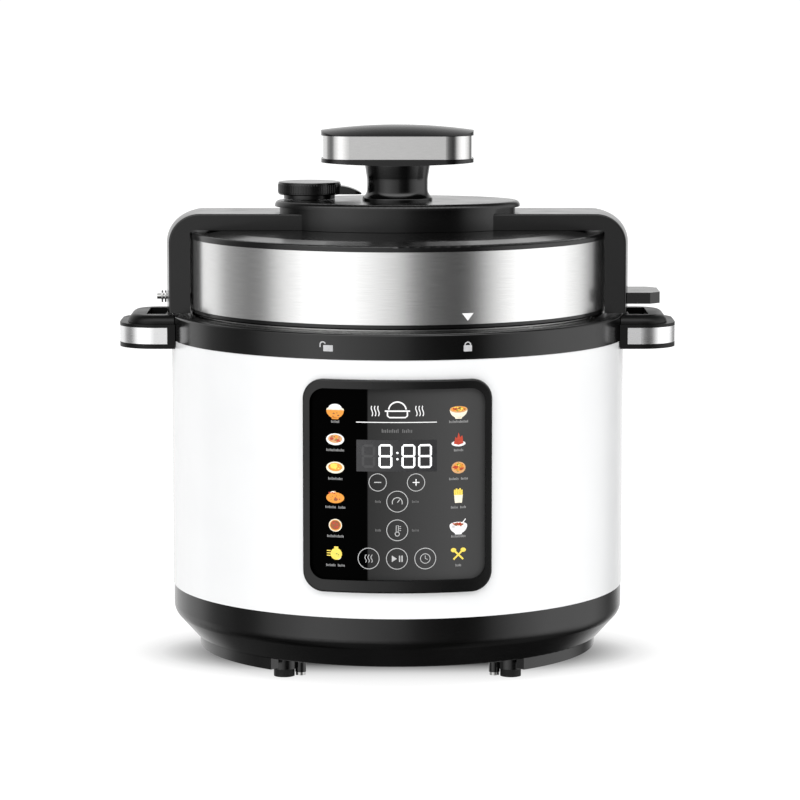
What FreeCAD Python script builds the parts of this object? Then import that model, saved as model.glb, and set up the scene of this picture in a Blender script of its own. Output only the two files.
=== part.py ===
import FreeCAD, Part
import math
import os
import re
import Sketcher
from FreeCAD import Vector

# Electric pressure cooker, millimetres, +Z up, +X to the right, the control panel towards -Y.
# The origin is on the standing surface, on the pot's axis.

SIZES = [
    # body
    ("body_r", 144.0, "outer radius of the shell"),
    ("shell_wall", 1.0, "sheet of the shell"),
    ("shell_height", 157.5, "visible height of the shell"),
    ("base_clearance", 15.5, "standing surface to the underside of the base floor"),
    ("base_height", 32.5, "underside of the base floor to the shell"),
    ("base_wall", 2.5, "wall of the base cover"),
    ("base_step", 0.5, "how far the base cover stands inside the shell's radius"),
    ("base_taper", 14.5, "how far the base cover draws in towards its underside"),
    ("base_taper_height", 15.5, "height of the tapered stretch"),
    ("base_round", 9.0, "round between the upright wall and the taper"),
    ("skid_width", 7.0, "width of the side skids"),
    ("skid_height", 7.5, "how far the side skids hang down"),
    ("skid_angle", 104.0, "angle that each side skid spans"),
    ("spigot_height", 5.0, "overlap of the spigots inside the shell"),
    ("fit_gap", 0.3, "clearance between pieces that are pushed together"),
    ("slip_gap", 0.1, "radial clearance of a shank in its hole"),
    ("vent_length", 46.0, "cooling slots in the base floor"),
    ("vent_width", 3.5, "width of a cooling slot"),
    ("vent_pitch", 9.0, "spacing of the cooling slots"),
    # feet
    ("foot_x", 70.7, "foot centre, sideways"),
    ("foot_y", 78.0, "foot centre, front to back"),
    ("foot_r", 6.5, "radius of a rubber foot"),
    ("foot_height", 5.0, "height of a rubber foot"),
    ("foot_boss_r", 8.0, "radius of the boss above a foot"),
    ("foot_plug_r", 3.0, "radius of the foot's plug"),
    ("foot_plug_length", 5.0, "length of the foot's plug"),
    ("post_inset", 10.2, "screw post centre, inboard of the foot"),
    ("post_r", 3.4, "radius of a screw post"),
    ("post_clearance", 2.5, "standing surface to the end of a screw post"),
    ("screw_r", 2.0, "shank radius of the screws"),
    ("screw_head_r", 3.0, "head radius of the screws"),
    ("screw_head", 2.0, "head thickness of the screws"),
    ("base_screw_length", 18.0, "shank length of a base screw"),
    # collar and handles
    ("collar_height", 15.7, "visible height of the collar"),
    ("collar_wall", 2.0, "floor of the collar's gutter"),
    ("collar_step", 0.3, "how far the collar stands out from the shell"),
    ("collar_round", 1.5, "round of the collar's outer edge"),
    ("gutter_round", 1.0, "round of the gutter's mouth"),
    ("drain_inset", 5.0, "gutter's outer wall to its drain hole"),
    ("gutter_gap", 2.0, "clearance between the lid's wall and the gutter"),
    ("handle_reach", 32.3, "how far a handle stands out from the shell"),
    ("handle_half", 36.0, "half the handle's length along the body"),
    ("handle_corner", 23.0, "plan radius of the handle's corners"),
    ("handle_drop", 5.0, "how far a handle hangs below the collar"),
    ("handle_flange", 15.3, "height of the handle's flange"),
    ("boss_half", 33.0, "half the length of the raised boss"),
    ("boss_reach", 27.0, "how far the raised boss stands out from the shell"),
    ("boss_round", 5.2, "round of the boss's upper edge"),
    ("boss_corner", 18.0, "plan radius of the boss's corners"),
    ("slot_inset", 2.6, "shell to the lid slot"),
    ("slot_corner", 1.0, "round of the lid slot's corners"),
    ("slot_width", 12.4, "width of the lid slot"),
    ("slot_half", 21.6, "half the length of the lid slot"),
    ("slot_depth", 15.0, "depth of the lid slot"),
    ("trim_wall", 1.0, "thickness of the metal trim"),
    ("trim_inset", 3.0, "handle's lower edge to the trim"),
    ("trim_height", 10.3, "height of the metal trim"),
    ("trim_start", 1.0, "shell to the trim's ends"),
    ("handle_screw_y", 22.0, "handle screws, front to back"),
    ("handle_screw_drop", 8.0, "collar's top to the handle screws"),
    ("handle_screw_length", 16.0, "shank length of a handle screw"),
    # pots
    ("flange_depth", 6.7, "collar's top to the flange of the outer pot"),
    ("flange_thick", 2.5, "thickness of the outer pot's flange"),
    ("plate_standoff", 3.5, "outside of the lid to the pressure plate's wall"),
    ("plate_wall", 1.5, "thickness of the pressure plate"),
    ("lug_gap", 2.0, "outer pot's lugs to the pressure plate's wall"),
    ("lug_reach", 4.5, "radial length of a lug"),
    ("lug_count", 5, "number of lugs"),
    ("lug_angle", 33.0, "angle that a lug spans"),
    ("lug_clearance", 0.5, "clearance between locked lugs"),
    ("lid_lug_thick", 2.0, "thickness of the lid's lugs"),
    ("lid_turn", 35.0, "turn of the lid from locked to open"),
    ("ring_width", 7.0, "width of the flange inside the lugs"),
    ("jacket_wall", 1.5, "wall of the outer pot"),
    ("jacket_round", 4.0, "round of the outer pot's bottom"),
    ("pot_gap", 2.5, "clearance between the two pots"),
    ("pot_wall", 1.5, "wall of the inner pot"),
    ("pot_rim", 9.0, "width of the inner pot's rim"),
    ("pot_rim_round", 1.2, "round of the inner pot's mouth"),
    ("pot_round", 16.0, "round of the inner pot's bottom"),
    ("under_pot_space", 22.5, "base floor to the outer pot"),
    ("heater_thick", 12.0, "thickness of the heating plate"),
    ("heater_r", 88.0, "radius of the heating plate"),
    ("heater_gap", 0.5, "heating plate to the inner pot"),
    ("heater_hole_r", 15.0, "hole for the temperature sensor"),
    ("terminal_x", 60.0, "heater terminal from the axis"),
    ("terminal_r", 3.0, "radius of a heater terminal"),
    ("terminal_length", 5.0, "terminal below the outer pot"),
    ("pot_post_r", 4.0, "radius of a pot post"),
    ("pot_post_circle", 98.0, "pot posts from the axis"),
    ("shield_wall", 0.8, "sheet of the heat shield"),
    ("shield_gap", 11.0, "outer pot to the heat shield"),
    ("shield_drop", 9.5, "collar to the heat shield's top"),
    # temperature sensor and pressure switch
    ("sensor_r", 11.0, "radius of the sensor's cap"),
    ("sensor_cap", 3.0, "thickness of the sensor's cap"),
    ("sensor_stem_r", 4.0, "radius of the sensor's stem"),
    ("sensor_gap", 0.2, "sensor to the inner pot"),
    ("sensor_stem", 17.0, "length of the sensor's stem"),
    ("holder_r", 15.0, "radius of the sensor's holder"),
    ("holder_thick", 2.0, "thickness of the sensor's holder"),
    ("coil_r", 7.0, "mean radius of the sensor's spring"),
    ("coil_wire_r", 0.6, "wire radius of the sensor's spring"),
    ("coil_turns", 4, "turns of the sensor's spring"),
    ("leaf_half", 45.0, "half the length of the leaf spring"),
    ("leaf_width", 24.0, "width of the leaf spring"),
    ("leaf_thick", 1.6, "thickness of the leaf spring"),
    ("leaf_drop", 5.0, "outer pot to the leaf spring"),
    ("leaf_stud_r", 3.0, "radius of the leaf spring's studs"),
    ("switch_x", 33.0, "pressure switch from the axis"),
    ("switch_length", 20.0, "length of a switch"),
    ("switch_width", 10.0, "width of a switch"),
    ("switch_button_r", 1.5, "radius of a switch's button"),
    ("switch_button", 1.5, "height of a switch's button"),
    # power board and inlet
    ("board_thick", 1.6, "thickness of a circuit board"),
    ("board_lift", 4.0, "base floor to the power board"),
    ("power_board_x", 14.0, "inner edge of the power board"),
    ("power_board_length", 66.0, "length of the power board"),
    ("power_board_width", 72.0, "width of the power board"),
    ("part_height", 9.0, "height of the tallest part on the power board"),
    ("inlet_rise", 27.0, "shell's lower edge to the inlet's centre"),
    ("inlet_half", 15.0, "half the width of the inlet's housing"),
    ("inlet_half_height", 11.0, "half the height of the inlet's housing"),
    ("inlet_flange", 4.0, "flange around the inlet's housing"),
    ("inlet_proud", 3.5, "how far the inlet stands out from the shell"),
    ("inlet_corner", 3.0, "corner radius of the inlet's flange"),
    ("inlet_depth", 19.0, "depth of the inlet's housing"),
    ("socket_half", 12.3, "half the width of the inlet's socket"),
    ("socket_half_height", 8.4, "half the height of the inlet's socket"),
    ("socket_depth", 15.0, "depth of the inlet's socket"),
    ("socket_corner", 2.5, "corner radius of the inlet's socket"),
    ("blade_spacing", 7.0, "centre to centre of the inlet's blades"),
    # condensation cup
    ("cup_half", 24.0, "half the width of the condensation cup"),
    ("cup_height", 34.0, "height of the condensation cup"),
    ("cup_wall", 1.6, "wall of the condensation cup"),
    ("cup_proud", 7.3, "how far the cup stands out from the shell"),
    ("cup_drop", 17.0, "shell's top to the cup holder"),
    ("cup_headroom", 4.0, "space above the cup"),
    ("cup_gap", 0.5, "clearance around the cup"),
    ("holder_wall", 1.8, "wall of the cup holder"),
    ("holder_depth", 15.0, "depth of the cup holder inside the shell"),
    ("holder_flange", 3.0, "flange around the cup holder"),
    ("holder_corner", 5.0, "corner radius of the cup and its holder"),
    ("flange_proud", 1.5, "thickness of the cup holder's flange"),
    # control panel
    ("panel_half", 57.2, "half the width of the panel frame"),
    ("panel_height", 129.7, "height of the panel frame"),
    ("panel_rise", 16.2, "shell's lower edge to the panel frame"),
    ("panel_corner", 12.5, "corner radius of the panel frame"),
    ("panel_proud", 3.6, "how far the panel frame stands out from the shell"),
    ("panel_side", 4.1, "width of the frame beside the touch panel"),
    ("panel_top", 5.4, "width of the frame above the touch panel"),
    ("panel_bottom", 7.7, "width of the frame below the touch panel"),
    ("panel_flange", 3.0, "overlap of the panel frame on the shell"),
    ("panel_round", 1.2, "round of the panel frame's outer edge"),
    ("touch_corner", 9.0, "corner radius of the touch panel"),
    ("touch_thick", 2.7, "thickness of the touch panel"),
    ("touch_recess", 2.4, "touch panel behind the frame's front"),
    ("tray_thick", 2.2, "back wall of the panel frame"),
    ("display_half", 27.0, "half the width of the display"),
    ("display_height", 21.0, "height of the display"),
    ("display_rise", 65.5, "touch panel's lower edge to the display"),
    ("display_thick", 6.0, "thickness of the display"),
    ("display_gap", 0.6, "touch panel to the display at its sides"),
    ("control_half", 47.0, "half the width of the control board"),
    ("control_height", 100.0, "height of the control board"),
    ("control_gap", 2.6, "heat shield to the control board"),
    ("standoff_r", 2.5, "radius of the board's standoffs"),
    # lid
    ("lid_step", 11.5, "shell's radius to the lid's band"),
    ("lid_gap", 1.2, "clearance between collar and lid"),
    ("lower_rim_height", 3.1, "height of the lid's lower rim"),
    ("band_height", 44.0, "height of the metal band"),
    ("band_wall", 0.8, "sheet of the metal band"),
    ("upper_rim_height", 3.7, "height of the lid's upper rim"),
    ("rim_proud", 0.5, "how far the upper rim stands out"),
    ("rim_width", 3.4, "width of the lid's rims"),
    ("lower_rim_round", 1.0, "round of the lower rim"),
    ("upper_rim_round", 1.2, "round of the upper rim"),
    ("cover_rise", 5.0, "band's top to the top of the cover"),
    ("cover_wall", 2.0, "wall of the lid cover"),
    ("cover_shoulder", 15.0, "width of the cover's sloped shoulder"),
    ("cover_shoulder_drop", 1.8, "drop of the cover's shoulder"),
    ("cover_edge", 1.0, "round of the cover's edge"),
    ("cover_shoulder_round", 12.0, "round above the cover's shoulder"),
    ("seat_rise", 3.6, "lid's underside to the gasket seat"),
    ("dome_rise", 18.0, "gasket seat to the top of the pressure plate"),
    ("dome_wall_rise", 12.0, "gasket seat to the pressure plate's shoulder"),
    ("dome_draft", 10.0, "draw of the dome's wall"),
    ("dome_round", 6.0, "round of the dome's shoulder"),
    ("seat_round", 5.0, "round under the dome's shoulder"),
    ("dome_inset", 4.0, "inner pot's wall to the dome"),
    ("gasket_lip", 2.5, "gasket inside the inner pot's wall"),
    ("gasket_gap", 0.3, "gasket to its neighbours"),
    ("inner_plate_drop", 7.0, "gasket seat to the inner plate"),
    ("inner_plate_wall", 1.2, "sheet of the inner plate"),
    ("inner_plate_lip", 5.0, "height of the inner plate's lip"),
    ("inner_nut_r", 9.0, "radius of the inner plate's nut"),
    ("inner_nut_height", 7.0, "height of the inner plate's nut"),
    ("inner_nut_floor", 2.0, "closed end of the inner plate's nut"),
    ("stud_r", 4.0, "radius of the lid's centre stud"),
    ("stud_tail", 4.0, "centre stud below the inner plate"),
    # lid handle and knob
    ("arm_gap", 1.2, "band to the handle's arms"),
    ("arm_thick", 13.0, "thickness of an arm"),
    ("arm_half", 28.0, "half the width of an arm"),
    ("arm_round", 19.0, "round of the handle's outer corner"),
    ("arm_edge", 1.0, "round of the handle's long edges"),
    ("arm_inner_round", 2.5, "round inside the handle's corner"),
    ("beam_height", 10.5, "cover's top to the top of the beam"),
    ("beam_wall", 2.7, "wall of the hollow beam"),
    ("beam_gap", 0.2, "cover to the beam"),
    ("hub_half_x", 75.0, "half the length of the hub"),
    ("hub_half_y", 47.0, "half the width of the hub"),
    ("hub_wall", 2.5, "wall of the hub"),
    ("hub_step", 3.3, "beam's top to the hub cap"),
    ("hub_cap_thick", 3.7, "thickness of the hub cap"),
    ("hub_cap_over", 3.0, "overhang of the hub cap"),
    ("hub_cap_round", 3.0, "round of the hub cap's edge"),
    ("fin_length", 19.8, "how far the parking fin stands out from the arm"),
    ("fin_half", 21.0, "half the width of the parking fin"),
    ("fin_thick", 7.1, "thickness of the parking fin"),
    ("fin_rise", 5.2, "arm's end to the parking fin"),
    ("fin_chamfer", 6.5, "chamfer of the parking fin's corners"),
    ("stem_height", 22.4, "height of the knob's stem"),
    ("stem_foot_r", 22.3, "radius of the stem's foot"),
    ("stem_foot", 1.6, "height of the stem's foot"),
    ("stem_waist_r", 19.3, "radius of the stem's waist"),
    ("stem_top_r", 20.7, "radius of the stem's top"),
    ("stem_foot_round", 0.8, "round of the stem's foot"),
    ("stem_low_round", 6.0, "round at the lower end of the waist"),
    ("stem_high_round", 12.0, "round at the upper end of the waist"),
    ("knob_half", 48.4, "half the length of the knob"),
    ("knob_depth", 23.0, "half the depth of the knob"),
    ("knob_corner", 18.0, "plan radius of the knob's corners"),
    ("knob_pan", 4.4, "height of the knob's lower body"),
    ("knob_pan_sag", 1.9, "how far the knob's underside bulges"),
    ("knob_band_height", 14.6, "height of the knob's band"),
    ("knob_band_inset", 1.2, "knob's edge to its band"),
    ("knob_band_wall", 0.8, "sheet of the knob's band"),
    ("knob_cap_height", 6.6, "height of the knob's cap"),
    ("knob_dome", 3.4, "rise of the cap's dome along the knob"),
    ("knob_brow", 4.6, "rise of the cap's dome across the knob"),
    ("lid_screw_x", 104.0, "lid screws from the axis"),
    ("lid_screw_post_r", 5.0, "radius of a lid screw's post"),
    # steam valve, float valve and interlock pin
    ("valve_x", 56.3, "steam valve from the axis, to the left"),
    ("valve_y", 11.5, "steam valve behind the axis"),
    ("pipe_r", 5.0, "outer radius of the steam pipe"),
    ("pipe_bore_r", 2.0, "bore of the steam pipe"),
    ("pipe_drop", 13.0, "steam pipe below the pressure plate's top"),
    ("pipe_rise", 6.5, "steam pipe above the hub cap"),
    ("pipe_flange_r", 9.0, "radius of the steam pipe's flange"),
    ("pipe_flange", 3.0, "thickness of the steam pipe's flange"),
    ("pipe_nut_r", 8.0, "radius of the steam pipe's nut"),
    ("pipe_nut", 6.0, "height of the steam pipe's nut"),
    ("pipe_nut_gap", 1.0, "pressure plate to the steam pipe's nut"),
    ("guard_r", 12.0, "radius of the steam guard"),
    ("guard_height", 10.0, "height of the steam guard"),
    ("guard_wall", 1.2, "wall of the steam guard"),
    ("guard_bridge", 3.0, "steam guard left whole above its slots"),
    ("valve_gap", 0.4, "hub cap to the valve's skirt"),
    ("valve_r", 19.85, "radius of the valve's knob"),
    ("valve_height", 8.0, "height of the valve's knob"),
    ("valve_edge", 0.8, "round of the valve knob's edges"),
    ("skirt_r", 16.4, "radius of the valve's skirt"),
    ("skirt_height", 2.6, "height of the valve's skirt"),
    ("tab_reach", 33.3, "valve's axis to the end of its tab"),
    ("tab_half", 5.0, "half the width of the valve's tab"),
    ("tab_corner", 4.0, "plan radius of the tab's corners"),
    ("tab_height", 5.6, "height of the valve's tab"),
    ("tab_curve", 30.0, "radius of the tab's falling top"),
    ("tab_root", 17.0, "valve's axis to where the tab's top starts to fall"),
    ("float_x", 8.0, "float valve from the axis"),
    ("float_y", 33.0, "float valve behind the axis"),
    ("float_r", 3.0, "radius of the float's pin"),
    ("float_gap", 0.4, "radial clearance of the float"),
    ("float_drop", 13.0, "pressure plate's top to the float's underside"),
    ("float_head_r", 6.0, "radius of the float's head"),
    ("float_head", 2.5, "thickness of the float's head"),
    ("float_seal", 2.0, "thickness of the float's seal"),
    ("float_collar_r", 5.0, "radius of the float's collar"),
    ("float_collar", 2.0, "thickness of the float's collar"),
    ("pin_rise", 8.1, "lid's underside to the interlock pin"),
    ("pin_r", 1.7, "radius of the interlock pin"),
    ("pin_gap", 0.3, "radial clearance of the interlock pin"),
    ("pin_proud", 6.7, "how far the interlock pin stands out of the arm"),
    ("pin_length", 41.0, "length of the interlock pin"),
    ("washer_r", 3.85, "radius of the pin's washers"),
    ("washer_thick", 0.8, "thickness of the pin's washers"),
    ("washer_inset", 2.9, "pin's end to the first washer"),
    ("washer_pitch", 2.1, "spacing of the pin's washers"),
    ("pin_collar_r", 2.6, "radius of the pin's collar"),
    ("pin_collar", 1.5, "thickness of the pin's collar"),
    ("pin_tail", 1.0, "pin's inner end to its collar"),
    ("pin_coil_gap", 0.1, "pin's spring to its seats"),
    ("pin_coil_wire_r", 0.25, "wire radius of the pin's spring"),
    ("pin_coil_turns", 5, "turns of the pin's spring"),
    # lock follower
    ("follower_angle", 12.0, "angle that the lock follower spans"),
    ("follower_thick", 6.0, "thickness of the lock follower"),
    ("finger_angle", 5.0, "angle that the follower's finger spans"),
    ("finger_gap", 1.5, "angle between a lid lug and the finger"),
    ("finger_width", 5.0, "radial width of the finger"),
    ("lid_switch_angle", 6.0, "angle that the lid switch spans"),
    ("slot_play", 1.0, "angle left free at each end of the finger's slot"),
]

doc = FreeCAD.newDocument("pressure_cooker")
sheet = doc.addObject("Spreadsheet::Sheet", "sizes")
for row, (alias, number, meaning) in enumerate(SIZES, start=1):
    sheet.set(f"A{row}", meaning)
    sheet.set(f"B{row}", str(number))
    sheet.setAlias(f"B{row}", alias)
doc.recompute()

ALIAS = re.compile(r"\b(" + "|".join(alias for alias, _, _ in SIZES) + r")\b")
FULL_TURN = 360.0
TINY = 0.01
pieces = []


# ---------------------------------------------------------------- expressions

def formula(text):
    """Expression text in which each size is named in full."""
    return ALIAS.sub(r"sizes.\1", text)


def value(text):
    """Number that an expression of sizes has now."""
    return float(sheet.evalExpression(formula(text)))


def bind(thing, name, text):
    """Tie one property of an object to the sheet."""
    thing.setExpression(name, formula(text))


def place(thing, x="0", y="0", z="0"):
    """Tie an object's place to the sheet."""
    for axis, text in zip("xyz", (x, y, z)):
        bind(thing, f"Placement.Base.{axis}", text)
    return thing


# Levels, from the standing surface up.
BASE_FLOOR = "(base_clearance + base_wall)"
BASE_TOP = "(base_clearance + base_height)"
SHELL_TOP = f"({BASE_TOP} + shell_height)"
COLLAR_FLOOR = f"({SHELL_TOP} + collar_wall)"
COLLAR_TOP = f"({SHELL_TOP} + collar_height)"
FLANGE_TOP = f"({COLLAR_TOP} - flange_depth)"
FLANGE_UNDER = f"({FLANGE_TOP} - flange_thick)"
LID_LUG_TOP = f"({FLANGE_UNDER} - lug_clearance)"
LID_LUG_UNDER = f"({LID_LUG_TOP} - lid_lug_thick)"
JACKET_UNDER = f"({BASE_FLOOR} + under_pot_space)"
JACKET_FLOOR = f"({JACKET_UNDER} + jacket_wall)"
HEATER_TOP = f"({JACKET_FLOOR} + heater_thick)"
POT_UNDER = f"({HEATER_TOP} + heater_gap)"
POT_RIM_TOP = f"({FLANGE_TOP} + pot_wall)"
SHIELD_TOP = f"({SHELL_TOP} - shield_drop)"
LID_UNDER = f"({COLLAR_TOP} + lid_gap)"
BAND_UNDER = f"({LID_UNDER} + lower_rim_height)"
BAND_TOP = f"({BAND_UNDER} + band_height)"
COVER_TOP = f"({BAND_TOP} + cover_rise)"
SEAT_UNDER = f"({LID_UNDER} + seat_rise)"
SEAT_TOP = f"({SEAT_UNDER} + plate_wall)"
DOME_TOP = f"({SEAT_UNDER} + dome_rise)"
BEAM_TOP = f"({COVER_TOP} + beam_height)"
HUB_CAP_UNDER = f"({BEAM_TOP} + hub_step)"
HUB_TOP = f"({HUB_CAP_UNDER} + hub_cap_thick)"
STEM_TOP = f"({HUB_TOP} + stem_height)"
PAN_TOP = f"({STEM_TOP} + knob_pan)"
KNOB_BAND_TOP = f"({PAN_TOP} + knob_band_height)"
KNOB_TOP = f"({KNOB_BAND_TOP} + knob_cap_height)"

# Radii, from the outside in.
SHELL_IN = "(body_r - shell_wall)"
COLLAR_R = "(body_r + collar_step)"
LID_R = "(body_r - lid_step)"
PLATE_R = f"({LID_R} - plate_standoff)"
PLATE_IN = f"({PLATE_R} - plate_wall)"
LUG_R = f"({PLATE_IN} - lug_gap)"
RING_R = f"({LUG_R} - lug_reach)"
JACKET_R = f"({RING_R} - ring_width)"
JACKET_IN = f"({JACKET_R} - jacket_wall)"
POT_R = f"({JACKET_IN} - pot_gap)"
SHIELD_R = f"({JACKET_R} + shield_gap + shield_wall)"
ARM_IN = f"({LID_R} + arm_gap)"
ARM_OUT = f"({ARM_IN} + arm_thick)"


# ---------------------------------------------------------------- building blocks
# A cutter runs 1 mm or more past the faces that it opens, and solids that are joined sink 1 mm
# or so into each other.

def finished(thing, label):
    """Name an object as one piece of the cooker."""
    thing.Label = label
    pieces.append(thing)
    return thing


def cylinder(name, radius, bottom, top, x="0", y="0"):
    """Upright cylinder."""
    thing = doc.addObject("Part::Cylinder", name)
    bind(thing, "Radius", radius)
    bind(thing, "Height", f"({top}) - ({bottom})")
    return place(thing, x, y, bottom)


def rod(name, radius, along, start, end, cross, level):
    """Cylinder along X or Y from start to end."""
    thing = doc.addObject("Part::Cylinder", name)
    bind(thing, "Radius", radius)
    bind(thing, "Height", f"({end}) - ({start})")
    if along == "x":
        thing.Placement.Rotation = FreeCAD.Rotation(Vector(0, 1, 0), 90)
        return place(thing, start, cross, level)
    thing.Placement.Rotation = FreeCAD.Rotation(Vector(1, 0, 0), -90)
    return place(thing, cross, start, level)


def box(name, x_span, y_span, z_span):
    """Block between pairs of coordinates."""
    thing = doc.addObject("Part::Box", name)
    for side, (low, high) in zip(("Length", "Width", "Height"), (x_span, y_span, z_span)):
        bind(thing, side, f"({high}) - ({low})")
    return place(thing, x_span[0], y_span[0], z_span[0])


def cut(name, base, *tools):
    """Base without the tools."""
    thing = doc.addObject("Part::Cut", name)
    thing.Base = base
    thing.Tool = tools[0] if len(tools) == 1 else fuse(f"{name}_tools", *tools)
    return thing


def fuse(name, *shapes):
    """All shapes as one."""
    thing = doc.addObject("Part::MultiFuse", name)
    thing.Shapes = list(shapes)
    return thing


def common(name, *shapes):
    """What all shapes share."""
    thing = doc.addObject("Part::MultiCommon", name)
    thing.Shapes = list(shapes)
    return thing


def group(name, *shapes):
    """Separate solids that share one node."""
    thing = doc.addObject("Part::Compound", name)
    thing.Links = list(shapes)
    return thing


def tube(name, outer, inner, bottom, top, x="0", y="0"):
    """Upright tube."""
    return cut(
        name,
        cylinder(f"{name}_outside", outer, bottom, top, x, y),
        cylinder(f"{name}_inside", inner, f"({bottom}) - 1", f"({top}) + 1", x, y),
    )


def sector(name, inner, outer, bottom, top, start, span):
    """Part of a tube: it starts at an angle from +X and spans an angle."""
    pie = cylinder(f"{name}_pie", outer, bottom, top)
    bind(pie, "Angle", span)
    pie.Placement.Rotation = FreeCAD.Rotation(Vector(0, 0, 1), value(start))
    return cut(name, pie, cylinder(f"{name}_core", inner, f"({bottom}) - 1", f"({top}) + 1"))


def mirrored(name, shape, normal):
    """Mirror image across a plane through the origin."""
    thing = doc.addObject("Part::Mirroring", name)
    thing.Source = shape
    thing.Normal = normal
    return thing


def origin_plane(body, role):
    """One of a body's own origin planes."""
    return next(f for f in body.Origin.OriginFeatures if f.Role == role)


def edge_names(shape, wanted):
    """Names of the edges that pass a test."""
    return [f"Edge{n}" for n, edge in enumerate(shape.Edges, start=1) if wanted(edge)]


def draw_outline(sketch, corners):
    """Closed outline whose corners are tied to the sheet."""
    points = [Vector(value(across), value(up), 0) for across, up in corners]
    count = len(points)
    for n in range(count):
        sketch.addGeometry(Part.LineSegment(points[n], points[(n + 1) % count]), False)
    for n in range(count):
        sketch.addConstraint(Sketcher.Constraint("Coincident", n, 2, (n + 1) % count, 1))
    for n, (across, up) in enumerate(corners):
        for kind, text, number in (("X", across, points[n].x), ("Y", up, points[n].y)):
            index = sketch.addConstraint(Sketcher.Constraint(f"Distance{kind}", n, 1, number))
            bind(sketch, f"Constraints[{index}]", text)


def revolved(name, corners, rounds=()):
    """Body turned about Z from an outline of radii and heights.

    Each round is the number of a corner and a radius.
    """
    body = doc.addObject("PartDesign::Body", name)
    sketch = body.newObject("Sketcher::SketchObject", f"{name}_outline")
    sketch.AttachmentSupport = [(origin_plane(body, "XZ_Plane"), "")]
    sketch.MapMode = "FlatFace"
    draw_outline(sketch, corners)
    turn = body.newObject("PartDesign::Revolution", f"{name}_turn")
    turn.Profile = sketch
    turn.ReferenceAxis = (sketch, ["V_Axis"])
    turn.Angle = FULL_TURN
    doc.recompute()
    for number, radius in rounds:
        across, up = (value(text) for text in corners[number])

        def at_corner(edge):
            start = edge.Vertexes[0]
            is_ring = len(edge.Vertexes) == 1
            return is_ring and abs(math.hypot(start.X, start.Y) - across) < TINY and abs(start.Z - up) < TINY

        sharp = body.Tip
        fillet = body.newObject("PartDesign::Fillet", f"{name}_round")
        fillet.Base = (sharp, edge_names(sharp.Shape, at_corner))
        bind(fillet, "Radius", radius)
        body.Tip = fillet
        doc.recompute()
    return body


def rounded_box(name, x_span, y_span, z_span, corner, along="z"):
    """Block whose edges along one axis are rounded."""
    body = doc.addObject("PartDesign::Body", name)
    block = body.newObject("PartDesign::AdditiveBox", f"{name}_block")
    for side, (low, high) in zip(("Length", "Width", "Height"), (x_span, y_span, z_span)):
        bind(block, side, f"({high}) - ({low})")
    place(body, x_span[0], y_span[0], z_span[0])
    doc.recompute()
    direction = Vector(*(float(axis == along) for axis in "xyz"))

    def runs_along(edge):
        return abs(edge.tangentAt(edge.FirstParameter).dot(direction)) > 0.99

    fillet = body.newObject("PartDesign::Fillet", f"{name}_round")
    fillet.Base = (block, edge_names(block.Shape, runs_along))
    bind(fillet, "Radius", corner)
    body.Tip = fillet
    doc.recompute()
    return body


def oval(name, half_x, half_y, bottom, top):
    """Upright elliptical block."""
    outline = doc.addObject("Part::Ellipse", f"{name}_outline")
    bind(outline, "MajorRadius", half_x)
    bind(outline, "MinorRadius", half_y)
    place(outline, z=bottom)
    thing = doc.addObject("Part::Extrusion", name)
    thing.Base = outline
    thing.DirMode = "Custom"
    thing.Dir = Vector(0, 0, 1)
    bind(thing, "LengthFwd", f"({top}) - ({bottom})")
    thing.Solid = True
    return thing


def rounded_edges(name, shape, radius, wanted):
    """Shape with a round on the edges that pass a test."""
    doc.recompute()
    thing = doc.addObject("Part::Fillet", name)
    thing.Base = shape
    size = value(radius)
    thing.Edges = [(n, size, size) for n, edge in enumerate(shape.Shape.Edges, start=1) if wanted(edge)]
    return thing


def coil(name, mean_r, wire_r, turns, length):
    """Helical spring that stands on the XY plane."""
    spine = doc.addObject("Part::Helix", f"{name}_spine")
    bind(spine, "Radius", mean_r)
    bind(spine, "Height", f"{length} - 2 * ({wire_r})")
    bind(spine, "Pitch", f"({length} - 2 * ({wire_r})) / ({turns})")
    place(spine, z=wire_r)
    wire = doc.addObject("Part::Circle", f"{name}_wire")
    bind(wire, "Radius", wire_r)
    wire.Placement.Rotation = FreeCAD.Rotation(Vector(1, 0, 0), 90)
    place(wire, x=mean_r, z=wire_r)
    doc.recompute()
    thing = doc.addObject("Part::Sweep", name)
    thing.Sections = [wire]
    thing.Spine = (spine, [f"Edge{n}" for n in range(1, len(spine.Shape.Edges) + 1)])
    thing.Solid = True
    thing.Frenet = True
    return thing


# ---------------------------------------------------------------- base and feet

CORNERS = ((1, -1), (-1, -1), (-1, 1), (1, 1))


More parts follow.
